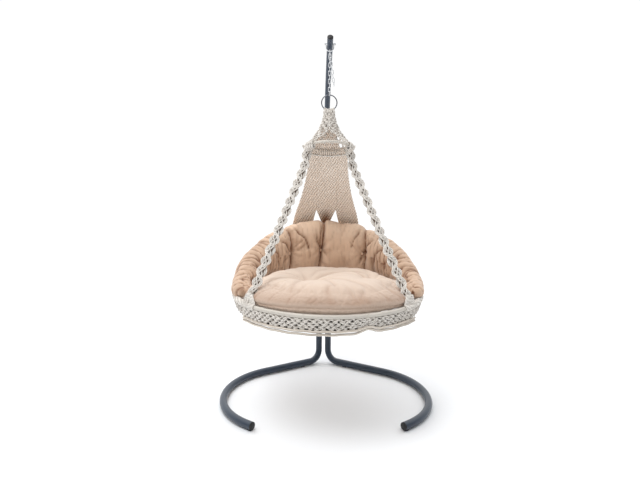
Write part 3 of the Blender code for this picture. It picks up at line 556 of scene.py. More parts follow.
def pole_grid():
    """The pole's middle line and skin: a stadium section pressed flat at the foot eases to
    round, its girth kept, and is carried up a straight and round one long arc."""
    along = np.concatenate([np.linspace(POLE_FOOT, PRESS_END, 6),
                            np.linspace(PRESS_END, PRESS_END + PRESS_EASE, 9)[1:]])
    pressed = within((along - PRESS_END) / PRESS_EASE)
    pressed = 0.5 + 0.5 * np.cos(pi * pressed)
    bends = 61
    rises = np.linspace(pi / 2 + LEAN, TIP_PITCH, bends)
    forward, up = pole_point(rises)
    bow = np.stack([np.zeros(bends), ORIGIN_D - forward, up], -1)
    tip = bow[-1] + TIP_TAIL * np.array((0, -cos(TIP_PITCH), sin(TIP_PITCH)))
    low = place(0.0, LEG_Z) + RISER_UP * along[:, None]
    path = np.concatenate([low, bow, [tip]])
    rise = np.concatenate([np.full(len(along), pi / 2 + LEAN), rises, [TIP_PITCH]])
    pressed = np.concatenate([pressed, np.zeros(bends + 1)])
    half_t = POLE_R + (PRESS_T / 2 - POLE_R) * pressed
    half_w = (2 * pi * POLE_R - 2 * pi * half_t) / 4 + half_t
    angle = 2 * pi * (np.arange(TUBE_SIDES) + 0.5) / TUBE_SIDES
    x = half_t[:, None] * np.cos(angle)
    w = half_t[:, None] * np.sin(angle) + (half_w - half_t)[:, None] * np.sign(np.sin(angle))
    across = np.stack([np.zeros_like(rise), np.sin(rise), np.cos(rise)], -1)
    grid = path[:, None] + x[..., None] * SIDE + w[..., None] * across[:, None]
    return path, grid[:, ::-1]


path, grid = pole_grid()
ridden(skin("arched_pole", lipped(grid, POLE_WALL, 0.012)[None], POWDER), "stand", "pole")
cap("pole_plug", path[-1], unit(path[-1] - path[-2]), POLE_R, "tip_cap")

# parts of the stand whose shape stays: rubber pads, and plated saddles, bolts and nuts
for start, finish in (("heel_pad", PLASTIC), ("foot_pad", PLASTIC), ("saddle", ZINC),
                      ("clamp", ZINC), ("hanger", ZINC)):
    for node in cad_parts:
        if node.startswith(start):
            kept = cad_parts[node]
            kept.data.materials.clear()
            kept.data.materials.append(finish)

# ---------------------------------------------------------------- stirrup, chain and hoops

PIN = middle("hanger_pin")
low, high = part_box("stirrup")
REACH = (high.x - low.x) / 2 - 0.0031
BEND = np.array((0.0, PIN[1], low.z + STIRRUP_WIRE + REACH))
ends = np.array(((-REACH, PIN[1], PIN[2]), (REACH, PIN[1], PIN[2])))
path = np.concatenate([straight(ends[0], BEND - SIDE * REACH, 5),
                       arc(BEND, BEND - SIDE * REACH, FRONT, pi, 24),
                       straight(BEND + SIDE * REACH, ends[1], 5)[1:], ends[1:]])
laid("bent_stirrup", path[None], STIRRUP_WIRE, 14, "stirrup", finish=ZINC, body="stirrup")

# its flattened eyes: a washer's section turned about the pin
thick = np.array((0.0, 0.0031, 0.0031, 0.0, -0.0031, -0.0031)) * 0.97
wide = np.array((0.009, 0.0088, 0.0046, 0.0046, 0.0046, 0.0088))
rim = circle(0.0, 1.0, -FRONT, UP, 28)
for side, word in HANDS:
    eye = (PIN + SIDE * side * REACH + SIDE * thick[:, None, None]
           + rim[None] * wide[:, None, None])
    ridden(skin("stirrup_eye_" + word, eye.swapaxes(0, 1)[None], ZINC, looped=True), "stirrup")


def oval(centre, wire, length, width, across, down, count=14):
    """Middle line of a chain link: two straight sides joined by half rounds."""
    half = width / 2 + wire
    lower = centre + down * (length / 2 + wire - half)
    upper = centre - down * (length / 2 + wire - half)
    normal = np.cross(across, down)
    one = arc(lower, lower + across * half, normal, pi, count)
    two = arc(upper, upper - across * half, normal, pi, count)
    return np.concatenate([one, two])


def link(name, node, body, size, across, down):
    """A chain link whose wire swells by a bell curve where one side is welded."""
    path = oval(middle(node), *size, across, down)
    weld = 1 + 0.16 * np.exp(-((np.arange(len(path)) - len(path) * 0.75) / 0.9) ** 2)
    laid(name, path[None], size[0] * weld[None], 12, node, finish=ZINC, looped=True, body=body)


link("master_shackle", "master_link", "chain", MASTER_LINK, FRONT, -UP)
for i in range(10):
    link(f"link_{i + 1:02d}", f"chain_link_{i + 1:02d}", "chain" if i < 9 else "lower_link",
         CHAIN_LINK, FRONT if i % 2 else SIDE, -UP)
spare_down = np.array((sin(SPARE_LEAN), 0.0, -cos(SPARE_LEAN)))
spare_across = np.array((cos(SPARE_LEAN), 0.0, sin(SPARE_LEAN)))
for i in range(8):
    link(f"end_link_{i + 1:02d}", f"spare_link_{i + 1:02d}", "spare_chain", CHAIN_LINK,
         FRONT if i % 2 else spare_across, spare_down)

HOOP_FRONT = np.array((0.0, -cos(HOOP_TILT), sin(HOOP_TILT)))
HOOP_UP = np.array((0.0, sin(HOOP_TILT), cos(HOOP_TILT)))
for name, node, round_line, wire, sides, finish in (
        ("forged_ring", "hanging_ring", circle(RING, RING_R, UP, SIDE, 72), RING_WIRE_R, 16,
         STEEL),
        ("small_hoop", "top_hoop", circle(TOP, TOP_HOOP_R, HOOP_FRONT, SIDE, 96), TOP_TUBE_R,
         20, PAINT),
        ("large_hoop", "seat_hoop", circle(SEAT, SEAT_HOOP_R, FRONT, SIDE, 192), SEAT_TUBE_R,
         20, PAINT)):
    laid(name, round_line[None], wire, sides, node, finish=finish, looped=True)

# ---------------------------------------------------------------- knotted cord


def polar(centre, radius, azimuth, height):
    """Points about a vertical line; azimuth 0 is at the front and grows to the right."""
    x = radius * np.sin(azimuth)
    y = centre - radius * np.cos(azimuth)
    return np.stack(np.broadcast_arrays(x, y, height), -1)


def hoop_point(azimuth, radius=TOP_HOOP_R):
    """Points on the middle line of the tilted top hoop."""
    azimuth = np.asarray(azimuth)[..., None]
    return TOP + radius * (SIDE * np.sin(azimuth) + HOOP_FRONT * np.cos(azimuth))


def spread_strands(path, outward, count, pitch, bow=0.0):
    """Strands side by side: each is the path moved across it, within the surface that
    outward stands on. Outer strands sink by bow."""
    ahead = unit(np.gradient(path, axis=0))
    across = unit(np.cross(outward, ahead))
    place_in = (np.arange(count) - (count - 1) / 2)[:, None, None]
    return path + across * place_in * pitch - outward * bow * (2 * place_in / count) ** 2


def sinnet(path, outward, pitch):
    """A plump square-knot rope, as middle lines of its cords and their shade. Two outer
    bundles swing by a cosine of the distance along: they bow out at each knot and cross
    between knots. Pairs of inner cords in front and behind swing by the sine instead, and
    cross inside each knot. Straight core cords fill the middle."""
    ahead = unit(np.gradient(path, axis=0))
    outward = unit(outward - (outward * ahead).sum(-1, keepdims=True) * ahead)
    side = np.cross(outward, ahead)
    turn = pi * metres_along(path)[:, None] / pitch
    wide, cross = np.cos(turn), np.sin(turn)
    lines, shades = [], []

    # a bundle of cords side by side, with one shade along them
    def bundle(line, count, gap, bow, shade):
        lines.append(spread_strands(line, outward, count, gap, bow))
        shades.append(np.broadcast_to(shade, (count, len(path), 1)))

    for hand in (1, -1):
        swing = np.sign(wide) * np.abs(wide) ** 0.9 * hand
        over = hand * np.abs(cross) ** 2
        # painted shade on an outer bundle where it passes behind
        bundle(path + side * 0.0190 * swing + outward * (0.0070 * over + 0.001), 2, 0.0074,
               0.0010, 0.45 * np.abs(cross) ** 3 * (over < 0))
        for face in (1, -1):
            swing = np.sign(cross) * np.abs(cross) ** 0.8 * hand
            lift = face * (0.0088 + 0.0034 * hand * np.abs(wide) ** 2 - 0.004 * np.abs(cross) ** 4)
            # painted shade on the inner cords where the outer bundles bow out
            bundle(path + side * 0.0096 * swing + outward * lift, 1, 0.0, 0.0,
                   0.22 * np.abs(wide) ** 6 + 0 * turn)
    # the core cords, deep inside, are painted almost wholly in shade
    bundle(path, 3, 0.0062, 0.0, 0.95 + 0 * turn)
    return np.concatenate(lines), np.concatenate(shades)[..., 0]


def metres_along(points):
    """Distance along a line at each of its points."""
    steps = np.linalg.norm(np.diff(points, axis=0), axis=-1)
    return np.concatenate([[0.0], np.cumsum(steps)])


def walked(points, count):
    """The same line with its points spread evenly."""
    metres = metres_along(points)
    at = np.linspace(0.0, metres[-1], count)
    return np.stack([np.interp(at, metres, column) for column in points.T], -1)


def eased(points, count):
    """A smooth line through the points by a Catmull-Rom rule, evenly spread."""
    p = np.asarray(points, float)
    p = np.concatenate([[2 * p[0] - p[1]], p, [2 * p[-1] - p[-2]]])
    t = (np.arange(16) / 16)[:, None]
    runs = []
    for a, b, c, d in zip(p, p[1:], p[2:], p[3:]):
        runs.append(0.5 * (2 * b + (c - a) * t + (2 * a - 5 * b + 4 * c - d) * t ** 2
                           + (3 * b - a - 3 * c + d) * t ** 3))
    return walked(np.concatenate(runs + [p[-2:-1]]), count)


def wound(centre_line, outward, tube, cord, per_turn=9):
    """One cord wound round a tube: an offset that turns about the tube's middle line while
    it moves on by a cord's thickness each turn."""
    turns = max(int(metres_along(centre_line)[-1] / (2.02 * cord)), 1)
    line = walked(centre_line, turns * per_turn + 1)
    at = np.linspace(0, 1, len(outward))
    t = np.linspace(0, 1, len(line))
    out = unit(np.stack([np.interp(t, at, column) for column in outward.T], -1))
    ahead = unit(np.gradient(line, axis=0))
    side = np.cross(ahead, out)
    angle = (2 * pi * turns * t)[:, None]
    return (line + (tube + cord * 0.9) * (np.cos(angle) * out + np.sin(angle) * side))[None]


def knots(name, centres, outward, ahead, width, depth, cord, rings=2):
    """Square knots as rings of cord round their strands, each ring an ellipse about the way
    ahead that leans to one side in front and to the other behind."""
    side = np.cross(outward, ahead)
    t = 2 * pi * np.arange(10) / 10
    loops, shades = [], []
    for k in range(rings):
        hand = -1 if k % 2 else 1
        shift = (k - (rings - 1) / 2) * 1.9 * cord
        loops.append(centres[:, None]
                     + (side * np.reshape(width, (-1, 1)))[:, None] * np.cos(t)[None, :, None]
                     + outward[:, None] * (depth * np.sin(t))[None, :, None]
                     + ahead[:, None] * (shift + 0.45 * cord * hand * np.cos(t))[None, :, None])
        # painted shade on each ring's sides, where it turns round its strands
        shades.append(np.broadcast_to(0.25 * (1 - np.abs(np.sin(t))), (len(centres), 10)))
    laid(name, np.concatenate(loops), cord, 5, looped=True, shade=np.concatenate(shades))


def lattice(name, surface, columns, rows, cord, knot_size, *nodes, steps=6, plain=0,
            wrapped=False):
    """An alternating square-knot net. surface(u, v) gives points for u in columns and v in
    rows. Each column's two bundles part and meet the next column's at every odd row: their
    distance from the column is half a smooth step that rises and falls from row to row.
    The last plain rows have no knots, and there the bundles hang evenly apart."""
    v = np.linspace(0.0, rows, rows * steps + 1)
    t = np.abs((v + 1) % 2 - 1)
    swing = t * t * (3 - 2 * t)
    loose = within(v - (rows - plain))
    swing = swing + (0.5 - swing) * loose
    column = np.arange(columns if wrapped else columns + 1)
    paths, shades = [], []
    for hand in (-1, 1):
        for k in range(2):
            u = column[:, None] + hand * 0.5 * swing + (k - 0.5) * 0.13
            if not wrapped:
                u = np.clip(u, 0.0, columns)
            every_v = np.broadcast_to(v, u.shape)
            lift = cord * 0.9 * hand * np.sin(pi * (v + 0.5)) + cord * 0.3 * k
            paths.append(surface(u, every_v)
                         + normal_of(surface, u, every_v) * lift[None, :, None])
            # painted shade on the bundles midway between knots, none on the plain rows
            shades.append(np.broadcast_to(0.22 * (1 - np.abs(2 * swing - 1)) * (1 - loose),
                                          u.shape))
    laid(name, np.concatenate(paths), cord, 5, *nodes, shade=np.concatenate(shades))
    row, column = np.meshgrid(np.arange(1, rows - plain + 1), np.arange(columns), indexing="ij")
    u, v = (column + 0.5 * (row % 2)).ravel(), row.ravel().astype(float)
    out = normal_of(surface, u, v)
    ahead = unit(surface(u, v + 0.02) - surface(u, v - 0.02))
    ahead = unit(ahead - (ahead * out).sum(-1, keepdims=True) * out)
    room = np.linalg.norm(surface(u + 0.25, v) - surface(u - 0.25, v), axis=-1)
    width = np.clip(room * 0.8, 0.0035, knot_size)
    knots(name + "_knots", surface(u, v), out, ahead, width, cord * 1.9, cord)


def normal_of(surface, u, v):
    """Outward direction of a surface by differences."""
    du = surface(u + 0.01, v) - surface(u - 0.01, v)
    dv = surface(u, v + 0.01) - surface(u, v - 0.01)
    return unit(np.cross(dv, du))


# ---------------------------------------------------------------- top net

NET_COLUMNS = 10
NET_ROWS = 11
NECK_HALF = 0.024                   # half the ring's width that the hitches take up
NET_TOP = RING[2] - sqrt((RING_R + RING_WIRE_R) ** 2 - NECK_HALF ** 2) + 0.004
SLIT_HALF = radians(44.0)
SLIT_FROM = 0.66                    # share of the way down at which the slit opens
BACK_LEFT = radians(242.0)
BACK_RIGHT = radians(136.0)


def bell(u, v):
    """The bell of the top net: it widens with the 2.2th power of the way down, and parts
    in front to leave a slit."""
    share = within(v / NET_ROWS)
    azimuth = 2 * pi * u / NET_COLUMNS
    slit = SLIT_HALF * within((share - SLIT_FROM) / 0.34) ** 0.75
    azimuth = slit + azimuth * (pi - slit) / pi
    rim = hoop_point(azimuth) + HOOP_UP * (TOP_TUBE_R + 0.001)
    neck = polar(RING[1], NECK_R * 0.85, azimuth, NET_TOP)
    grow = (share ** 2.2)[..., None]
    spot = neck + (rim - neck) * grow
    spot[..., 2] = neck[..., 2] + (rim[..., 2] - neck[..., 2]) * share
    return spot


lattice("bell_net", bell, NET_COLUMNS, NET_ROWS, BELL_CORD, 0.0098, "top_net", plain=2, steps=9)


def bell_back(across, down):
    """The close-knotted back of the bell: across and down run 0 to 1, from the left to the
    right and from under the neck to the hoop."""
    azimuth = BACK_LEFT + (BACK_RIGHT - BACK_LEFT) * across
    u = azimuth / (2 * pi) * NET_COLUMNS
    return bell(u, NET_ROWS * (0.45 + 0.55 * down))


# lark's-head knots that hang the net on the ring
hang_x = np.array((-0.021, -0.0135, -0.006, 0.001, 0.008, 0.0145, 0.021))
hang_z = RING[2] - np.sqrt(RING_R ** 2 - hang_x ** 2)
spot = np.stack([hang_x, np.full(7, RING[1]), hang_z], -1)
along_ring = unit(np.stack([RING[2] - hang_z, np.zeros(7), hang_x], -1))
knots("ring_hitches", spot, np.broadcast_to(FRONT, spot.shape), along_ring, 0.0062, 0.0062,
      HITCH_CORD, rings=3)

# ---------------------------------------------------------------- ropes

ROPE_LEAVES = radians(92.0)         # where a rope leaves the top hoop
ROPE_DROP = 0.085                   # from there straight down to its knee
ROPE_BEND_R = 0.15
FAN_CORDS = 15
FAN_SPREAD = radians(5.6)


def rope_line(side):
    """A rope hangs from the side of the top hoop, then runs straight to the seat hoop."""
    start = hoop_point(side * ROPE_LEAVES) + np.array((side * 0.002, 0.0, 0.010))
    knee = start - UP * ROPE_DROP
    end = polar(SEAT[1], SEAT_HOOP_R, side * ROPE_AZIMUTH, SEAT[2] + SEAT_TUBE_R)
    return walked(np.concatenate([straight(start, knee + UP * 0.04, 6),
                                  fillet(start, knee, end, ROPE_BEND_R, 10), [end]]), 300)


def fan_lines(side, rope):
    """The rope's cords as they fan out over the hoop: each starts in the rope, and goes down
    the hoop's outer side by an arc about its tube."""
    t = np.linspace(-1.0, 1.0, FAN_CORDS)
    azimuth = side * ROPE_AZIMUTH + t * FAN_SPREAD
    foot = (rope[-1] + np.stack([t * 0.012, 0 * t, 0 * t + 0.042], -1)
            + (rope[-40] - rope[-1]) * 0.02)
    radial = polar(0.0, 1.0, azimuth, 0.0)
    inside = polar(SEAT[1], SEAT_HOOP_R, azimuth, SEAT[2])
    over = [inside + (SEAT_TUBE_R + FAN_CORD) * (radial * cos(a) + UP * sin(a))
            for a in np.linspace(radians(125.0), radians(-60.0), 12)]
    fan = np.stack([foot, foot * 0.45 + over[2] * 0.55 + UP * 0.004] + over[2:], 1)
    return np.stack([eased(line, 22) for line in fan])


for side, word in HANDS:
    rope = rope_line(side)
    facing = np.broadcast_to(unit(np.array((side * 0.25, -1.0, 0.25))), rope.shape)
    lines, shade = sinnet(rope, facing, ROPE_KNOT)
    laid("knotted_rope_" + word, lines, ROPE_CORD, 7, "rope_" + word, shade=shade)
    # a faint even painted shade on the fan's cords
    laid("rope_fan_" + word, fan_lines(side, rope), FAN_CORD, 6, shade=0.05)

# wound cord on the sides and rear of both hoops, and the panel's loops over it
line = hoop_point(np.linspace(radians(64.0), radians(296.0), 90))
laid("small_hoop_wrap", wound(line, unit(line - TOP), TOP_TUBE_R, TOP_WRAP_CORD),
     TOP_WRAP_CORD, 6)
# the panel's loops over the top hoop's rear carry an even painted shade
line = hoop_point(np.linspace(radians(122.0), radians(238.0), 60))
laid("panel_head_loops", wound(line, unit(line - TOP), TOP_TUBE_R + 0.0042, 0.0058),
     PANEL_LOOP_CORD, 6, finish=PANEL, shade=0.12)
azimuth = np.linspace(BARE_AZIMUTH + radians(8), 2 * pi - BARE_AZIMUTH - radians(8), 180)
line = polar(SEAT[1], SEAT_HOOP_R, azimuth, SEAT[2])
laid("large_hoop_wrap", wound(line, unit(line - SEAT), SEAT_TUBE_R, SEAT_WRAP_CORD, 8),
     SEAT_WRAP_CORD, 5)

# two rows of knots on each side where the rope leaves the top hoop
for side, word, first in ((-1, "left", radians(46.0)), (1, "right", radians(60.0))):
    centre = hoop_point(side * np.linspace(first, radians(118.0), 11), TOP_HOOP_R + 0.004)
    out = unit(centre - TOP)
    ahead = unit(np.gradient(centre, axis=0))
    knots("shoulder_knots_" + word, np.concatenate([centre, centre - UP * 0.015 - out * 0.002]),
          np.concatenate([out, out]), np.concatenate([ahead, ahead]), 0.0125, 0.0110,
          SHOULDER_CORD)

# ---------------------------------------------------------------- back panel

PANEL_LINE = eased([(TOP_HOOP_R, TOP[2] - TOP_TUBE_R),
                    (TOP_HOOP_R + 0.060, TOP[2] - 0.110),
                    (TOP_HOOP_R + 0.185, SEAT[2] + 0.490),
                    (TOP_HOOP_R + 0.305, SEAT[2] + 0.345),
                    (SEAT_HOOP_R + 0.002, SEAT[2] + 0.190),
                    (SEAT_HOOP_R, SEAT[2] + SEAT_TUBE_R + 0.002)], 200)
NOTCH_TIP = SEAT[2] + 0.395
TONGUE_TIP = SEAT[2] + 0.290
NOTCH_SIDE = 0.058
NOTCH_SLOPE = 0.25
TONGUE_SLOPE = 0.42
SCALLOP_PITCH = 0.018
SLANT_PITCH = 0.0165                # between the slantwise cords, measured across
RISE_PITCH = 0.0320                 # and down, of those that rise to the right
CROSS_PITCH = 0.0190                # and of those that cross under them


def panel_row(share):
    """Radius and height of the panel's middle line at a share down it."""
    at = np.linspace(0, 1, len(PANEL_LINE))
    return np.interp(share, at, PANEL_LINE[:, 0]), np.interp(share, at, PANEL_LINE[:, 1])


def panel_point(across, share, lift):
    """Points of the back panel: across in metres from its middle seam, share down its line,
    lift outward. Rows are arcs about a line that leans from the top hoop to the seat hoop."""
    radius, height = panel_row(share)
    centre = TOP[1] + (SEAT[1] - TOP[1]) * share
    azimuth = pi - across / radius
    tilted = within(1 - 3 * share)
    lean = hoop_point(azimuth) - polar(TOP[1], TOP_HOOP_R, azimuth, TOP[2])
    spot = polar(centre, radius + lift, azimuth, height)
    return spot + lean * tilted[..., None]


def panel_edge(share):
    """Half the panel's width in metres at a share down its line."""
    spread = radians(27.0) + radians(33.5) * (1 - share) ** 6.5 - radians(2.0) * share ** 4
    return panel_row(share)[0] * spread


def weave(across, down, right):
    """Height, 0 to 1, of cords laid slantwise, and the painted shade in the gaps between them. The
    cords that rise to the right stand out; a second family crosses under them. Where right
    is 1 both stand out alike and leave small holes, which painted shade darkens."""
    wave = 0.0022 * np.sin(across * 61 + down * 23) + 0.0018 * np.sin(down * 97 - across * 40)
    p = across / SLANT_PITCH + (down + wave) / RISE_PITCH
    q = across / SLANT_PITCH - (down + wave) / CROSS_PITCH
    one = np.abs(np.cos(pi * p)) ** 0.8
    two = np.abs(np.cos(pi * q)) ** 0.8
    bead = 0.35 + 0.65 * two
    lay = np.maximum(one * bead, two * (0.45 + 0.30 * right))
    # painted shade: darker in the gaps beside the rising cords, and in the holes
    line = (1 - one) ** 2.0 * (0.95 - 0.45 * right) * (1.15 - 0.75 * two)
    hole = ((1 - one) * (1 - two)) ** 1.1 * (0.8 + 0.7 * right)
    return lay, within(line + hole)


def cloth(name, front, back, shade, finish, *nodes):
    """A closed thin cloth from two grids of points that share their edges."""
    ring = np.concatenate([back, front[:, ::-1]], 1)
    shade = np.concatenate([shade, shade[:, ::-1]], 1)
    ridden(skin(name, ring[None], finish, shade=shade[None]), "seat", *nodes)


def panel_strip(name, left, right, bottom, tip, *nodes):
    """A closed knotted cloth between two edges given as functions of the share down and the
    height. tip is how much painted shade darkens it towards its lower end."""
    share = np.linspace(0.0, bottom, 260)[:, None]
    t = np.linspace(0, 1, 64)[None]
    height = panel_row(share)[1]
    edge, width = left(share, height), right(share, height) - left(share, height)
    across = edge + width * t
    down = PANEL_LINE[0, 1] - height + share * 0.16
    relief, gap = weave(across, down, within(across / 0.04 + 0.3))
    rim = within(np.minimum(t, 1 - t) * width / 0.004) ** 0.5
    thick = 0.0052 * relief * rim + 0.0006
    # painted shade: the gaps, and towards the lower end the middle, are darkened
    low = within(share / bottom * 5 - 3.8)
    dark = tip * low * np.exp(-(across / 0.030) ** 2)
    cloth(name, panel_point(across, share + 0 * t, -thick),
          panel_point(across, share + 0 * t, thick), within(gap * 0.85 + dark),
          PANEL, *nodes)


def scallop(height):
    """How far the panel's outer edge bows past its line: a sine's size, a knot a wave."""
    return 0.0030 * np.abs(np.sin(pi * height / SCALLOP_PITCH)) - 0.001


def notch(height):
    """Where a notch's outer side stands, off the middle seam; the notch widens downwards."""
    return NOTCH_SIDE + np.clip((NOTCH_TIP - height) * NOTCH_SLOPE, 0.0, 0.040)


def tongue(height):
    """Half the middle tongue's width: it narrows downwards to a blunt end."""
    return NOTCH_SIDE - np.clip(NOTCH_TIP - height, 0.0, 0.15) * TONGUE_SLOPE


tongue_end = np.interp(-TONGUE_TIP, -PANEL_LINE[:, 1], np.linspace(0, 1, len(PANEL_LINE)))
panel_strip("panel_middle", lambda s, h: -tongue(h), lambda s, h: tongue(h),
            float(tongue_end), 1.3, "back_panel")
panel_strip("panel_left", lambda s, h: -panel_edge(s) - scallop(h), lambda s, h: -notch(h),
            1.0, 0.0)
panel_strip("panel_right", lambda s, h: notch(h), lambda s, h: panel_edge(s) + scallop(h),
            1.0, 0.0)

share = 0.024                       # a thick cord caps the panel just under the hoop
across = np.linspace(-1.0, 1.0, 60) * (panel_edge(share) - 0.004)
# a faint even painted shade on the ridge cord
laid("panel_ridge", panel_point(across, share + 0 * across, -0.0095)[None], RIDGE_CORD, 8,
     shade=0.02)

# the close-knotted back of the bell; painted shade darkens its gaps, and a little all over
across, down = np.meshgrid(np.linspace(0, 1, 120), np.linspace(0, 1, 110))
relief, gap = weave(across * 0.17, down * 0.11, 1.0)
rim = within(np.minimum(np.minimum(across, 1 - across), 1 - down) * 40) ** 0.5
spot = bell_back(across, down)
out = unit(spot - np.array((0.0, TOP[1], 0.0)) * (1, 1, 0) - UP * spot[..., 2:])
cloth("bell_lining", spot - out * (0.003 + 0.0040 * relief * rim)[..., None], spot - out * 0.003,
      within(gap + 0.12), PANEL)

# ---------------------------------------------------------------- seat net, skirt and rim band

NET_EDGE = SEAT_HOOP_R - SEAT_TUBE_R
DISH_COLUMNS = 40
DISH_ROWS = 10


def sagging(radius):
    """Height of the seat net: it sags with the square of the way in from the hoop."""
    return SEAT[2] - NET_SAG * (1 - (radius / NET_EDGE) ** 2)


def dish(u, v):
    """The seat net: a shallow bowl."""
    radius = NET_EDGE * (1 - 0.93 * v / DISH_ROWS)
    return polar(SEAT[1], radius, -2 * pi * u / DISH_COLUMNS, sagging(radius))


lattice("dish_net", dish, DISH_COLUMNS, DISH_ROWS, DISH_CORD, 0.0068, "seat_net", wrapped=True,
        steps=5)

SKIRT_SPAN = radians(56.0)
SKIRT_COLUMNS = 30
SKIRT_ROWS = 4
SKIRT_DEPTH = 0.062
NICK_AT = radians(19.5)
NICK_DEPTH = 0.016
BAND_BACK = 0.020                   # depth of the band behind, and what it gains in front
BAND_GAIN = 0.032


def hem_depth(azimuth):
    """Depth of the skirt under the hoop; it dips to the left and has a nick to the right."""
    nick = np.exp(-((azimuth - NICK_AT) / radians(5.0)) ** 2)
    return SKIRT_DEPTH - NICK_DEPTH * nick + 0.003 * np.cos(azimuth * 3 + 0.8)


def skirt_surface(u, v):
    """The skirt under the hoop's front. Small sines push its knots off an even grid."""
    azimuth = -SKIRT_SPAN + 2 * SKIRT_SPAN * u / SKIRT_COLUMNS
    azimuth = azimuth + 0.006 * np.sin(u * 1.9 + v * 2.3) + 0.004 * np.sin(u * 4.3 - v * 1.7)
    depth = hem_depth(azimuth) * 0.70 * (v + 0.12 * np.sin(u * 2.7 + v)) / SKIRT_ROWS
    return polar(SEAT[1], SEAT_HOOP_R + 0.004 - 0.12 * depth, azimuth,
                 SEAT[2] - SEAT_TUBE_R - depth + 0.002)


lattice("skirt_net", skirt_surface, SKIRT_COLUMNS, SKIRT_ROWS, SKIRT_CORD, 0.0095, "skirt")
# a dark sheet just inside the skirt, wholly in painted shade, darkens what shows through its holes
u, v = np.meshgrid(np.linspace(0, SKIRT_COLUMNS, 300), np.linspace(0, SKIRT_ROWS * 1.3, 14))
inner = skirt_surface(u, v) * (0.982, 0.982, 1.0) + np.array((0.0, SEAT[1] * 0.018, 0.0))
outer = inner * (0.997, 0.997, 1.0) + np.array((0.0, SEAT[1] * 0.003, 0.0))
cloth("skirt_shade_lining", outer, inner, 1.0 + 0 * u, SHADE_LINING)

azimuth = np.linspace(-SKIRT_SPAN, SKIRT_SPAN, 240)
for i, drop in enumerate((0.80, 1.01)):
    depth = hem_depth(azimuth) * drop + 0.001 * np.sin(azimuth * 31 + i)
    path = polar(SEAT[1], SEAT_HOOP_R + 0.014 - 0.10 * depth, azimuth,
                 SEAT[2] - SEAT_TUBE_R - depth)
    laid(f"hem_cord_{i + 1}", path[None], HEM_CORD, 10, finish=HEM, shade=0.0)

# cut ends of the skirt's cords under the hem
STUBS = 190
rng = np.random.default_rng(7)
azimuth = np.linspace(-SKIRT_SPAN, SKIRT_SPAN, STUBS)
start = polar(SEAT[1], SEAT_HOOP_R - 0.006, azimuth,
              SEAT[2] - SEAT_TUBE_R - hem_depth(azimuth) * 1.04)
fall = rng.uniform(0.004, 0.009, STUBS)[:, None]
sway = rng.uniform(-0.003, 0.003, (STUBS, 3)) * (1, 1, 0)
fringe = np.stack([start, start - UP * fall * 0.5 + sway * 0.4, start - UP * fall + sway], 1)
# painted shade, darkest at the roots under the hem
laid("fringe", fringe, np.array((0.0026, 0.0024, 0.0016))[None], 5,
     shade=np.broadcast_to((0.45, 0.25, 0.1), (STUBS, 3)))

BAND_SPAN = pi - SKIRT_SPAN
BAND_COLUMNS = 60
BAND_ROWS = 3


def band_surface(u, v):
    """The band under the hoop's sides and rear, deep beside the skirt and shallow behind."""
    off = (u / BAND_COLUMNS * 2 - 1) * BAND_SPAN
    azimuth = pi - off
    front = within((np.abs(off) - radians(70)) / radians(50)) ** 1.3
    depth = (BAND_BACK + BAND_GAIN * front) * v / BAND_ROWS
    return polar(SEAT[1], SEAT_HOOP_R + 0.003 - 0.35 * depth, azimuth,
                 SEAT[2] - SEAT_TUBE_R - depth + 0.001)


lattice("band_net", band_surface, BAND_COLUMNS, BAND_ROWS, BAND_CORD, 0.0078)

# ---------------------------------------------------------------- cushions

SWELL_STEPS = 20                    # steps of the cloth's swelling
SWELL_MOST = 0.024                  # how far it may move a point
CUSHION_FACE = 0.0062               # size of the pads' faces
BOLSTER_FACE = 0.0075


def ripple(a, b, waves, seed):
    """A sum of slanted waves with their own turns and strengths, about -1 to 1."""
    draw = np.random.default_rng(seed)
    total = 0.0
    for low, high in waves:
        ka, kb = draw.uniform(low, high), draw.uniform(-high, high) * 0.35
        total = total + np.sin(ka * a + kb * b + draw.uniform(0, 2 * pi)) / len(waves)
    return total


def creased(wave, sharp):
    """Thin creases, 0 to 1, where a wave passes through nothing."""
    return within(1 - np.abs(wave) * sharp) ** 1.5


def points_of(obj):
    """The places of a mesh's points."""
    co = np.empty(len(obj.data.vertices) * 3)
    obj.data.vertices.foreach_get("co", co)
    return co.reshape(-1, 3)


def put_points(obj, co):
    """New places for a mesh's points."""
    obj.data.vertices.foreach_set("co", co.ravel())
    obj.data.update()


def swollen(obj, held, pressure):
    """Swells a closed mesh by cloth under pressure, held where held is 1. A point's move is
    eased by a hyperbolic tangent, so that it stays under the farthest allowed."""
    start = points_of(obj)
    group = obj.vertex_groups.new(name="held")
    for level in (0.25, 0.5, 0.75, 1.0):
        chosen = np.flatnonzero((held > level - 0.25) & (held <= level)).tolist()
        group.add(chosen, level, "REPLACE")
    cover = obj.modifiers.new("cover", "CLOTH")
    for key, value in {"quality": 4, "mass": 0.3, "tension_stiffness": 12.0,
                       "compression_stiffness": 8.0, "shear_stiffness": 4.0,
                       "bending_stiffness": 0.2, "use_pressure": True,
                       "uniform_pressure_force": pressure, "shrink_min": -0.06,
                       "vertex_group_mass": "held"}.items():
        setattr(cover.settings, key, value)
    cover.settings.effector_weights.gravity = 0.0
    cover.collision_settings.use_collision = False
    cover.collision_settings.use_self_collision = False
    for step in range(1, SWELL_STEPS + 1):
        bpy.context.scene.frame_set(step)
    graph = bpy.context.evaluated_depsgraph_get()
    move = points_of(obj.evaluated_get(graph)) - start
    obj.modifiers.remove(cover)
    size = np.linalg.norm(move, axis=-1, keepdims=True)
    move *= SWELL_MOST * np.tanh(size / SWELL_MOST) / np.maximum(size, 1e-9)
    put_points(obj, start + move)
    bpy.context.scene.frame_set(1)


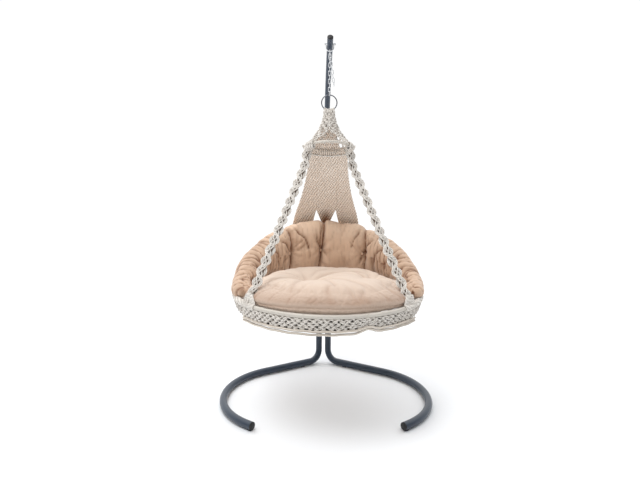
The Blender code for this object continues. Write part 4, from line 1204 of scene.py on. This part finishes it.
def remeshed(obj, voxel):
    """Makes a closed form anew in even small faces."""
    finish = obj.data.materials[0]
    step = obj.modifiers.new("remesh", "REMESH")
    step.mode = "VOXEL"
    step.voxel_size = voxel
    step.use_smooth_shade = True
    graph = bpy.context.evaluated_depsgraph_get()
    mesh = bpy.data.meshes.new_from_object(obj.evaluated_get(graph))
    obj.modifiers.remove(step)
    old = obj.data
    obj.data = mesh
    bpy.data.meshes.remove(old)
    mesh.materials.clear()
    mesh.materials.append(finish)


def covered_button(node, foot, out, finish):
    """A low dome on a foot point. Its rings follow half an oval from the foot to the top."""
    wide = 0.5 * np.ptp(np.array(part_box(node)), axis=0).max()
    out = unit(np.array(out))
    first = unit(np.cross(out, (0.13, 0.37, 0.92)))
    second = np.cross(out, first)
    rise = np.linspace(0.02, pi - 0.02, 9)[:, None, None]
    flat = circle(0.0, 1.0, first, second, 16)
    ring = foot + wide * np.sin(rise) * flat + out * 0.32 * wide * (0.6 - np.cos(rise))
    ridden(skin("covered_" + node, ring[None, :, ::-1], finish), "seat", node)


def finished_pad(obj, shade, node):
    """A padded piece with its creases' shade, smoothed once."""
    layer = obj.data.attributes.new("shade", "FLOAT", "POINT")
    layer.data.foreach_set("value", within(shade).astype(np.float32))
    smoother = obj.modifiers.new("smooth", "SUBSURF")
    smoother.levels = 1
    smoother.render_levels = 1
    ridden(obj, "seat", node)


# ---------------------------------------------------------------- seat cushion

CUSHION_Y = SEAT[1] - CUSHION_FORWARD
SEAM_Z = SEAT[2] + CUSHION_SEAM
RIM = 0.467                         # in front the cushion's edge keeps to the seat hoop
CORNER_AT = radians(69.0)           # and ends in two gathered corners beside the ropes
CORNER_DROP = 0.024
TUFTS = ((-0.099, 0.015, 1.0), (0.222, -0.045, 0.75))       # right, towards the front, pull
TUFT_DIP = 0.034                    # depths of what is drawn into the cushion
TUFT_RAYS = 0.021
PUCKER = 0.0040
GATHER = 0.018
SEAM_GROOVE = 0.0060
SOFT_FOLD = 0.010
SWELL = 0.0065


def net_height(x, y):
    """Height of the seat net under a point."""
    return sagging(np.sqrt(x ** 2 + (y - SEAT[1]) ** 2))


def hugging(azimuth):
    """1 where the cushion keeps to the hoop, 0 where it keeps its own round."""
    t = within((radians(90.0) - np.abs(azimuth)) / radians(26.0))
    return t ** 2 * (3 - 2 * t)


def seam_height(azimuth):
    """The seam of the cushion, level in front and behind, lower towards the corners."""
    return SEAM_Z - CORNER_DROP * hugging(azimuth) * np.sin(azimuth) ** 2


def tuft_depth(x, y):
    """How deep the two tufts pull the cushion's top, and the painted shade in their creases. A
    tuft is a dip that dies away with distance, cut by rays whose number differs."""
    depth, dark = 0.0, 0.0
    for k, (tx, forward, pull) in enumerate(TUFTS):
        dx, dy = x - tx, y - (CUSHION_Y - forward)
        away = np.sqrt(dx ** 2 + dy ** 2)
        turn = np.arctan2(dy, dx)
        ray = np.abs(np.sin(3.5 * turn + 0.6 * np.sin(2 * turn + k) + k)) ** 0.5
        rays = (1 - ray) * np.exp(-away / 0.115) * (1 - np.exp(-away / 0.02))
        depth = depth + pull * (TUFT_DIP * np.exp(-(away / 0.040) ** 1.2) + TUFT_RAYS * rays
                                + 0.012 * np.exp(-(away / 0.10) ** 2))
        dark = dark + pull * (0.5 * np.exp(-(away / 0.012) ** 2) + 0.45 * rays)
    return depth, dark


def drawn_creases(at, lines, width):
    """Depth, 0 to 1, of drawn creases: a ridge of exponentials of the distance to each
    line, which starts and ends faint."""
    total = np.zeros(at.shape[:-1])
    for line, pull in lines:
        ends = np.array(line)
        best = np.zeros_like(total)
        for k in range(len(ends) - 1):
            ahead = ends[k + 1] - ends[k]
            t = within(((at - ends[k]) @ ahead) / (ahead @ ahead))
            away = np.linalg.norm(at - ends[k] - t[..., None] * ahead, axis=-1)
            along = (k + t) / (len(ends) - 1)
            fade = np.clip(6 * along, 0.25, 1.0) * np.clip(6 * (1 - along), 0.25, 1.0)
            best = np.maximum(best, fade * np.exp(-(away / width) ** 1.1))
        total = np.maximum(total, pull * best)
    return total


# soft folds of the cushion's top, each through points in metres: right, towards the front;
# then strength
DRAPES = (
    (((-0.07, 0.03), (0.0, 0.16), (0.03, 0.30)), 0.9),
    (((-0.06, 0.01), (0.08, 0.13), (0.19, 0.27)), 0.8),
    (((-0.11, 0.05), (-0.16, 0.18), (-0.18, 0.30)), 0.6),
    (((-0.13, 0.02), (-0.24, 0.04), (-0.31, 0.10)), 0.7),
    (((-0.12, -0.02), (-0.22, -0.07), (-0.28, -0.10)), 0.7),
    (((-0.08, -0.02), (0.02, -0.10), (0.13, -0.13), (0.22, -0.11)), 0.9),
    (((-0.09, -0.03), (-0.05, -0.14), (0.02, -0.22)), 0.6),
    (((0.20, -0.06), (0.14, -0.12), (0.06, -0.15)), 0.6),
    (((0.24, -0.03), (0.31, 0.02), (0.35, 0.09)), 0.7),
    (((0.22, -0.02), (0.25, 0.10), (0.25, 0.22)), 0.5),
    (((-0.27, 0.16), (-0.21, 0.24)), 0.5),
    (((-0.02, 0.33), (0.0, 0.26)), 0.6),
    (((0.13, 0.34), (0.15, 0.28)), 0.5),
    (((0.30, 0.25), (0.27, 0.19)), 0.6),
)


def build_cushion():
    """A round pad whose front edge keeps to the hoop. Over each spoke and share of the
    radius the top crowns by a flat power law above the seam and the underside follows the
    net, both pulled in at the gathers."""
    spokes, rings = 180, 46
    turn = 2 * pi * np.arange(spokes) / spokes - pi
    share = np.sin(np.linspace(pi / 2, 0.03, rings))
    s, a = np.meshgrid(share, turn, indexing="ij")
    hug = np.sqrt(RIM ** 2 - (CUSHION_FORWARD * np.sin(a)) ** 2) - CUSHION_FORWARD * np.cos(a)
    size = (CUSHION_R + 0.010) * (1 - hugging(a)) + hug * hugging(a)
    size = size + 0.002 * np.sin(5 * a + 1) + 0.002 * np.sin(9 * a)
    x = size * s * np.sin(a)
    y = CUSHION_Y - size * s * np.cos(a)
    seam = seam_height(a)
    crown = CUSHION_CROWN - 0.024 + 0.012 * np.cos(a) * s
    top = SEAM_Z + (seam - SEAM_Z) * s ** 4 + crown * (1 - s ** 9) ** 0.5
    rest = net_height(x, y) + 0.003
    under = seam + (rest - seam) * (1 - s ** 40) ** 0.5
    ring = np.concatenate([np.stack([x, y, under], -1)[:0:-1], np.stack([x, y, top], -1)])
    obj = skin("round_cushion", ring[None, :, ::-1], FABRIC)
    remeshed(obj, CUSHION_FACE)

    # held along the seam, on the net and at the tufts
    co = points_of(obj)
    x, y, z = co.T
    outside = np.hypot(x, y - CUSHION_Y) > CUSHION_R * 0.88
    seam = seam_height(np.arctan2(x, CUSHION_Y - y))
    held = np.exp(-((z - seam) / 0.008) ** 2) * outside
    held = np.maximum(held, z < net_height(x, y) + 0.012)
    for tx, forward, _ in TUFTS:
        away = np.hypot(x - tx, y - (CUSHION_Y - forward))
        held = np.maximum(held, (away < 0.014) * (z > SEAM_Z))
    swollen(obj, held, 4.0)

    # then drawn in at tufts, seam, puckers, gathers and folds
    co = points_of(obj)
    x, y, z = co.T
    reach = np.hypot(x, y - CUSHION_Y) / CUSHION_R
    azimuth = np.arctan2(x, -(y - CUSHION_Y))
    over_seam = z - seam_height(azimuth)
    upper = within(over_seam / 0.02)
    depth, dark = tuft_depth(x, y)
    swell = ripple(x, y, [(12, 34)] * 5, 3)
    line = creased(ripple(azimuth * 0.37, reach * 0.37, [(14, 44)] * 5, 5), 6.0)
    puckers = PUCKER * within((reach - 0.45) / 0.5) * line
    corner = sum(np.exp(-((azimuth - c) / 0.11) ** 2) for c in (-CORNER_AT, CORNER_AT))
    gather = corner * within((reach - 0.82) / 0.28) * GATHER
    gather *= 0.6 + 0.4 * np.cos(azimuth * 70)
    groove = SEAM_GROOVE * np.exp(-((over_seam + 0.006) / 0.0045) ** 2) * (reach > 0.86)
    drape = drawn_creases(np.stack([x, CUSHION_Y - y], -1), DRAPES, 0.011)
    co[:, 2] -= upper * (depth - SWELL * swell) + upper * (puckers + SOFT_FOLD * drape)
    pull = (groove + gather) / CUSHION_R
    co[:, 0] -= x * pull
    co[:, 1] -= (y - CUSHION_Y) * pull
    put_points(obj, co)

    # painted shade: darker in the tufts, the seam groove, gathers, puckers and drapes, on steep
    # faces, and towards the front, which turns away from the light above
    normal = np.empty(len(co) * 3)
    obj.data.vertex_normals.foreach_get("vector", normal)
    steep = np.clip(0.9 - normal[2::3], 0.0, 0.6)
    front = np.hypot(x, y - SEAT[1]) / RIM
    front = within((front - 0.44) / 0.56) ** 2.2 * hugging(azimuth)
    shade = upper * dark + groove * 40 + gather * 14 + upper * puckers * 40
    shade = shade + 0.08 * steep + 0.48 * front * (0.5 + 0.5 * upper) + 0.35 * upper * drape
    finished_pad(obj, shade, "seat_cushion")
    for i, (tx, forward, _) in enumerate(TUFTS):
        near = (np.hypot(x - tx, y - CUSHION_Y + forward) < 0.011) & (z > SEAM_Z)
        foot = np.array((tx, CUSHION_Y - forward, z[near].mean() - 0.001))
        covered_button(f"seat_button_{i + 1}", foot, UP, FABRIC)


# ---------------------------------------------------------------- back bolster

BACK_HALF_T = 0.077                 # half thickness of the bolster behind, and at its ends
END_HALF_T = 0.051
BACK_HEIGHT = 0.335                 # its top over the hoop
END_HEIGHT = 0.100
BACK_LEAN = radians(13.0)
FOLD_DIP = 0.014                    # depths of what is drawn into the bolster
LINE_DIP = 0.0105
ROLL = 0.007
STAR_DIP = 0.016
CREASE_DIP = 0.017
# folds of the bolster: degrees from the back towards the right, and strength
FOLDS = ((-103, 0.35), (-90, 0.4), (-77, 0.3), (-64, 0.4), (-52, 0.35), (-38, 1.0), (-27, 0.25),
         (-5, 1.0), (17, 0.2), (36.5, 1.0), (48, 0.4), (61, 0.3), (74, 0.4), (88, 0.35),
         (101, 0.4))


def bolster_section(turn_at):
    """Half thickness, half height, mid radius, mid height and inward lean of the bolster."""
    turn = np.minimum(np.abs(turn_at) / BOLSTER_SPREAD, 1.0)
    half_t = BACK_HALF_T + (END_HALF_T - BACK_HALF_T) * turn ** 1.5
    fall = 0.5 + 0.5 * np.cos(pi * turn ** 1.4)
    height = END_HEIGHT + (BACK_HEIGHT - END_HEIGHT) * fall
    outer = SEAT_HOOP_R - 0.013 + 0.037 * turn
    rest = sagging(outer - half_t) + 0.006
    rest = rest + (SEAT[2] + SEAT_TUBE_R - rest) * turn
    half_h = (SEAT[2] + height - rest) / 2
    lean = BACK_LEAN * (1 - turn) ** 0.7
    return half_t, half_h, outer - half_t, rest + half_h + 0.006 * (1 - turn), lean


def leaning(up):
    """What of a height counts for the lean: nothing well below the middle, all above it."""
    return 0.5 * (up + np.sqrt(up ** 2 + 0.05 ** 2))


def fold_depth(beta):
    """Depth, 0 to 1, of the nearest folds at a turn in degrees: sharp at the fold."""
    depth = 0.0
    for at, pull in FOLDS:
        depth = np.maximum(depth, pull * np.exp(-np.abs(beta - at) / 3.2))
    return depth


# creases of the bolster's inner face, each through points: degrees from the back, height
# from -1 to 1; then strength
CREASES = (
    (((-34, 0.97), (-29, 0.65), (-23, 0.48), (-19, 0.16), (-16, -0.45)), 1.0),
    (((-51, 0.72), (-43, 0.42), (-38.5, 0.10), (-37, -0.60)), 1.0),
    (((-11, 0.85), (-10.5, 0.50), (-6, 0.02)), 0.8),
    (((-3.5, 0.95), (-6, 0.60), (-6.5, 0.35), (-5, -0.50)), 1.0),
    (((35, 0.85), (31, 0.48), (27, 0.05)), 0.8),
    (((50, 0.72), (42, 0.38), (37, 0.0), (35, -0.50)), 1.0),
    (((-25, 0.45), (-34, 0.15)), 0.6),
    (((-22, 0.25), (-31, 0.0)), 0.6),
    (((-9, 0.20), (-14, 0.60)), 0.4),
    (((0, 0.30), (-4.5, 0.02), (2, -0.25)), 0.5),
    (((10, 0.75), (5, 0.30)), 0.35),
    (((20, 0.90), (17, 0.45)), 0.35),
    (((33, 0.10), (26, 0.40)), 0.4),
    (((45, 0.20), (38, 0.02), (44, -0.30)), 0.6),
    (((-45, 0.15), (-39, 0.0), (-46, -0.30)), 0.6),
    (((-62, 0.70), (-54, 0.20), (-52, -0.40)), 0.8),
    (((-73, 0.60), (-66, 0.10), (-66, -0.40)), 0.8),
    (((-84, 0.70), (-78, 0.0)), 0.7),
    (((62, 0.70), (55, 0.25), (51, -0.40)), 0.8),
    (((74, 0.65), (67, 0.10), (65, -0.40)), 0.8),
    (((86, 0.60), (80, 0.0)), 0.7),
)


def bent(degrees, angle):
    """The turn at which a fold is met: it wanders by a sine round the section."""
    return degrees + 3.2 * np.sin(angle + degrees * 0.05) * np.sign(degrees + 0.01)


def on_bolster(co):
    """Points in the bolster's own measures: turn, way out and way up over the half sizes,
    angle round the section, and the depth of the folds."""
    beta = np.arctan2(co[:, 0], co[:, 1] - SEAT[1])
    half_t, half_h, mid_r, mid_z, lean = bolster_section(beta)
    radius = np.hypot(co[:, 0], co[:, 1] - SEAT[1])
    up = (co[:, 2] - mid_z) / half_h
    out = (radius + leaning(co[:, 2] - mid_z) * np.sin(lean) - mid_r) / half_t
    angle = np.arctan2(up, out)
    bend = bent(np.degrees(beta), angle)
    return beta, out, up, angle, bend, fold_depth(bend)


def button_stars(beta, up):
    """Short creases that run out from the strong folds' middles, mostly up and down: rays
    of a sine's root that die away with distance."""
    star = 0.0
    for k, (at, pull) in enumerate(FOLDS):
        if pull > 0.9:
            along = (np.degrees(beta) - at) * 0.0070
            rise = (up + 0.02) * 0.16
            away = np.hypot(along, rise)
            ray = np.abs(np.sin(4.5 * np.arctan2(rise, along) + 0.9 * k)) ** 0.45
            ray = (1 - ray) * (0.30 + 0.70 * (rise / np.maximum(away, 1e-6)) ** 2)
            star = star + ray * np.exp(-away / 0.085) * (1 - np.exp(-away / 0.012))
    return star


def build_bolster():
    """A horseshoe pad. At each turn the section is a rounded box whose size eases from the
    back to the ends; gathered folds draw it in, deepest inside and on top."""
    beta = np.linspace(-1.0, 1.0, 300)[:, None] * (BOLSTER_SPREAD + radians(3.0))
    half_t, half_h, mid_r, mid_z, lean = bolster_section(beta)
    close = within((BOLSTER_SPREAD + radians(3.05) - np.abs(beta)) / radians(9.0))
    close = np.sqrt(1 - (1 - close) ** 2)
    angle = 2 * pi * np.arange(72)[None] / 72
    c, s = np.cos(angle), np.sin(angle)
    degrees = np.degrees(beta)
    behind = within(1 - np.abs(degrees) / 70)
    fold = fold_depth(bent(degrees, angle))
    inner = within(0.35 - c) * 0.80 + within(s) * 0.30
    shrink = 1 - fold * (0.06 + 0.26 * inner)
    sink = 1 - fold * 0.05 * (s > 0)
    out = (half_t - 0.003) * close * shrink * np.sign(c) * np.abs(c) ** 0.8
    up = (half_h - 0.010 + 0.007 * behind) * close * sink * np.sign(s) * np.abs(s) ** 0.8
    radius = mid_r + out - leaning(up) * np.sin(lean)
    grid = np.stack([radius * np.sin(beta), SEAT[1] + radius * np.cos(beta), mid_z + up], -1)
    obj = skin("horseshoe_bolster", grid[None], BACK_FABRIC)
    remeshed(obj, BOLSTER_FACE)
    beta, out, up, angle, bend, fold = on_bolster(points_of(obj))
    held = np.maximum((fold > 0.72) * (out < 0.5) * 1.0, (up < -0.9) * 1.0)
    swollen(obj, held, 3.5)

    co = points_of(obj)
    beta, out, up, angle, bend, fold = on_bolster(co)
    inside = within(0.45 - out)
    wide = creased(ripple(beta * 0.4, angle * 0.045, [(60, 130)] * 4, 21), 4.5)
    fine = creased(ripple(beta * 0.4, angle * 0.04, [(110, 230)] * 5, 22), 4.0)
    roll = ripple(beta * 0.4, angle * 0.09, [(16, 40)] * 4, 23)
    wing = np.clip((np.abs(bend) - 30) / 25, 0.25, 1.0)
    near = within(fold * 1.5)
    star = button_stars(beta, up) * within(inside * 3)
    scale = np.array((0.0070, 0.155))
    creases = [(np.array(line) * scale, pull) for line, pull in CREASES]
    drawn = drawn_creases(np.stack([np.degrees(beta), up], -1) * scale, creases, 0.0058)
    drawn = drawn * within(inside * 2.5)
    lines = wide * wing + 0.6 * fine * np.maximum(near, 0.5 * wing)
    depth = FOLD_DIP * fold ** 2 * (0.4 + inside) + LINE_DIP * lines - ROLL * roll
    depth = depth + STAR_DIP * star + CREASE_DIP * drawn
    _, _, mid_r, mid_z, _ = bolster_section(beta)
    middle_line = np.stack([mid_r * np.sin(beta), SEAT[1] + mid_r * np.cos(beta), mid_z], -1)
    co = co + unit(middle_line - co) * depth[:, None]
    put_points(obj, co)
    # painted shade in folds, crease lines, stars and drawn creases, and growing towards both ends,
    # where it dims the wings' lit tops
    shade = 0.9 * fold ** 5 * (0.3 + inside) + 0.65 * lines + 0.5 * star + 1.1 * drawn ** 1.5
    shade = shade + 0.24 * within((np.abs(np.degrees(beta)) - 36) / 36)
    finished_pad(obj, shade, "back_bolster")
    for i in range(3):
        spot = middle(f"back_button_{i + 1}") - (0.0, SEAT[1], 0.0)
        away = spot / (np.hypot(spot[0], spot[1])) * (1.0, 1.0, 0.0)
        flat = co - (0.0, SEAT[1], 0.0)
        reach = flat @ away
        beside = np.hypot(flat[:, 0] * away[1] - flat[:, 1] * away[0], flat[:, 2] - spot[2])
        near = (beside < 0.012) & (reach > 0) & (out < 0)
        foot = away * (reach[near].mean() + 0.001) + (0.0, SEAT[1], spot[2])
        covered_button(f"back_button_{i + 1}", foot, -away - 0.1 * UP, BACK_FABRIC)


build_cushion()
build_bolster()

# ---------------------------------------------------------------- stage, light and camera

FLOOR_SQUARES = 20
FLOOR_HALF = 30.0
DIM_WALL = 0.20
WHITE_WALL = 1.04
CEILING = 0.95
BACKDROP = 1.03
KEY_POWER = 60.0
FOCAL = 515.0 / 640                 # over the picture's width
SHIFT = -68.63 / 640
SENSOR = 36.0


def stage_floor():
    """A pale floor: one flat sheet of even squares."""
    line = np.linspace(-FLOOR_HALF, FLOOR_HALF, FLOOR_SQUARES + 1)
    x, y = np.meshgrid(line, line, indexing="ij")
    number = np.arange(x.size).reshape(x.shape)
    quads = np.stack([number[:-1, :-1], number[1:, :-1], number[1:, 1:], number[:-1, 1:]], -1)
    made = Finish("studio_floor", Specular_IOR_Level=0.1)
    cloud = made.noise(made.coordinates(), 1.5)
    finish = made.feed(made.mix(cloud, rgb(245, 247, 250), rgb(249, 251, 253)),
                       cloud * 0.1 + 0.7)
    verts = np.stack([x, y, np.zeros_like(x)], -1).reshape(-1, 3)
    piece("floor", verts, quads, [], finish)


def studio():
    """A white room lit from above: the ceiling is brightest, the wall behind is white and
    the wall in front gives little light. Seen straight on, every wall is white."""
    world = bpy.data.worlds.new("studio")
    bpy.context.scene.world = world
    world.use_nodes = True
    room = Nodes(world.node_tree)
    sideways, back, up = room.parts(room.coordinates("Generated"))
    smooth = {"interpolation_type": "SMOOTHSTEP"}
    wall = room.node("MapRange", smooth, {0: back, 1: -0.5, 2: 0.55, 3: DIM_WALL, 4: WHITE_WALL})
    ceiling = room.node("MapRange", smooth, {0: up, 1: 0.25, 2: 1.0, 3: 0.0, 4: CEILING})
    light = wall + ceiling - sideways * 0.12
    seen = room.node("LightPath")
    strength = light + seen * (BACKDROP - light)
    backdrop = room.tree.nodes["Background"]
    room.tree.links.new(strength.socket, backdrop.inputs["Strength"])
    backdrop.inputs["Color"].default_value = (1.0, 1.0, 1.0, 1.0)


def softbox(name, at, target, size, power):
    """A large square light that faces its target."""
    lamp = bpy.data.lights.new(name, "AREA")
    lamp.shape = "SQUARE"
    lamp.size = size
    lamp.energy = power
    obj = added(name, lamp)
    obj.location = at
    obj.rotation_euler = (Vector(target) - Vector(at)).to_track_quat("-Z", "Y").to_euler()


def camera(at, yaw, roll):
    """A level camera: yaw turns it to the right, roll leans it."""
    ahead = Vector((sin(yaw), cos(yaw), 0.0))
    right = Vector((cos(yaw), -sin(yaw), 0.0))
    up = Vector((0.0, 0.0, 1.0))
    turned_right = right * cos(roll) + up * sin(roll)
    turned_up = up * cos(roll) - right * sin(roll)
    data = bpy.data.cameras.new("camera")
    data.sensor_width = SENSOR
    data.lens = FOCAL * SENSOR
    data.shift_y = SHIFT
    obj = added("camera", data)
    obj.matrix_world = Matrix.Translation(at) @ Matrix(
        (turned_right, turned_up, -ahead)).transposed().to_4x4()
    bpy.context.scene.camera = obj


stage_floor()
studio()
softbox("key", (-1.4, -1.5, 4.2), (0.0, 0.0, 0.7), 2.0, KEY_POWER)
camera((-0.0991, -2.7812, 1.2099), 0.0197, 0.0118)
bpy.context.scene.view_settings.view_transform = "Standard"
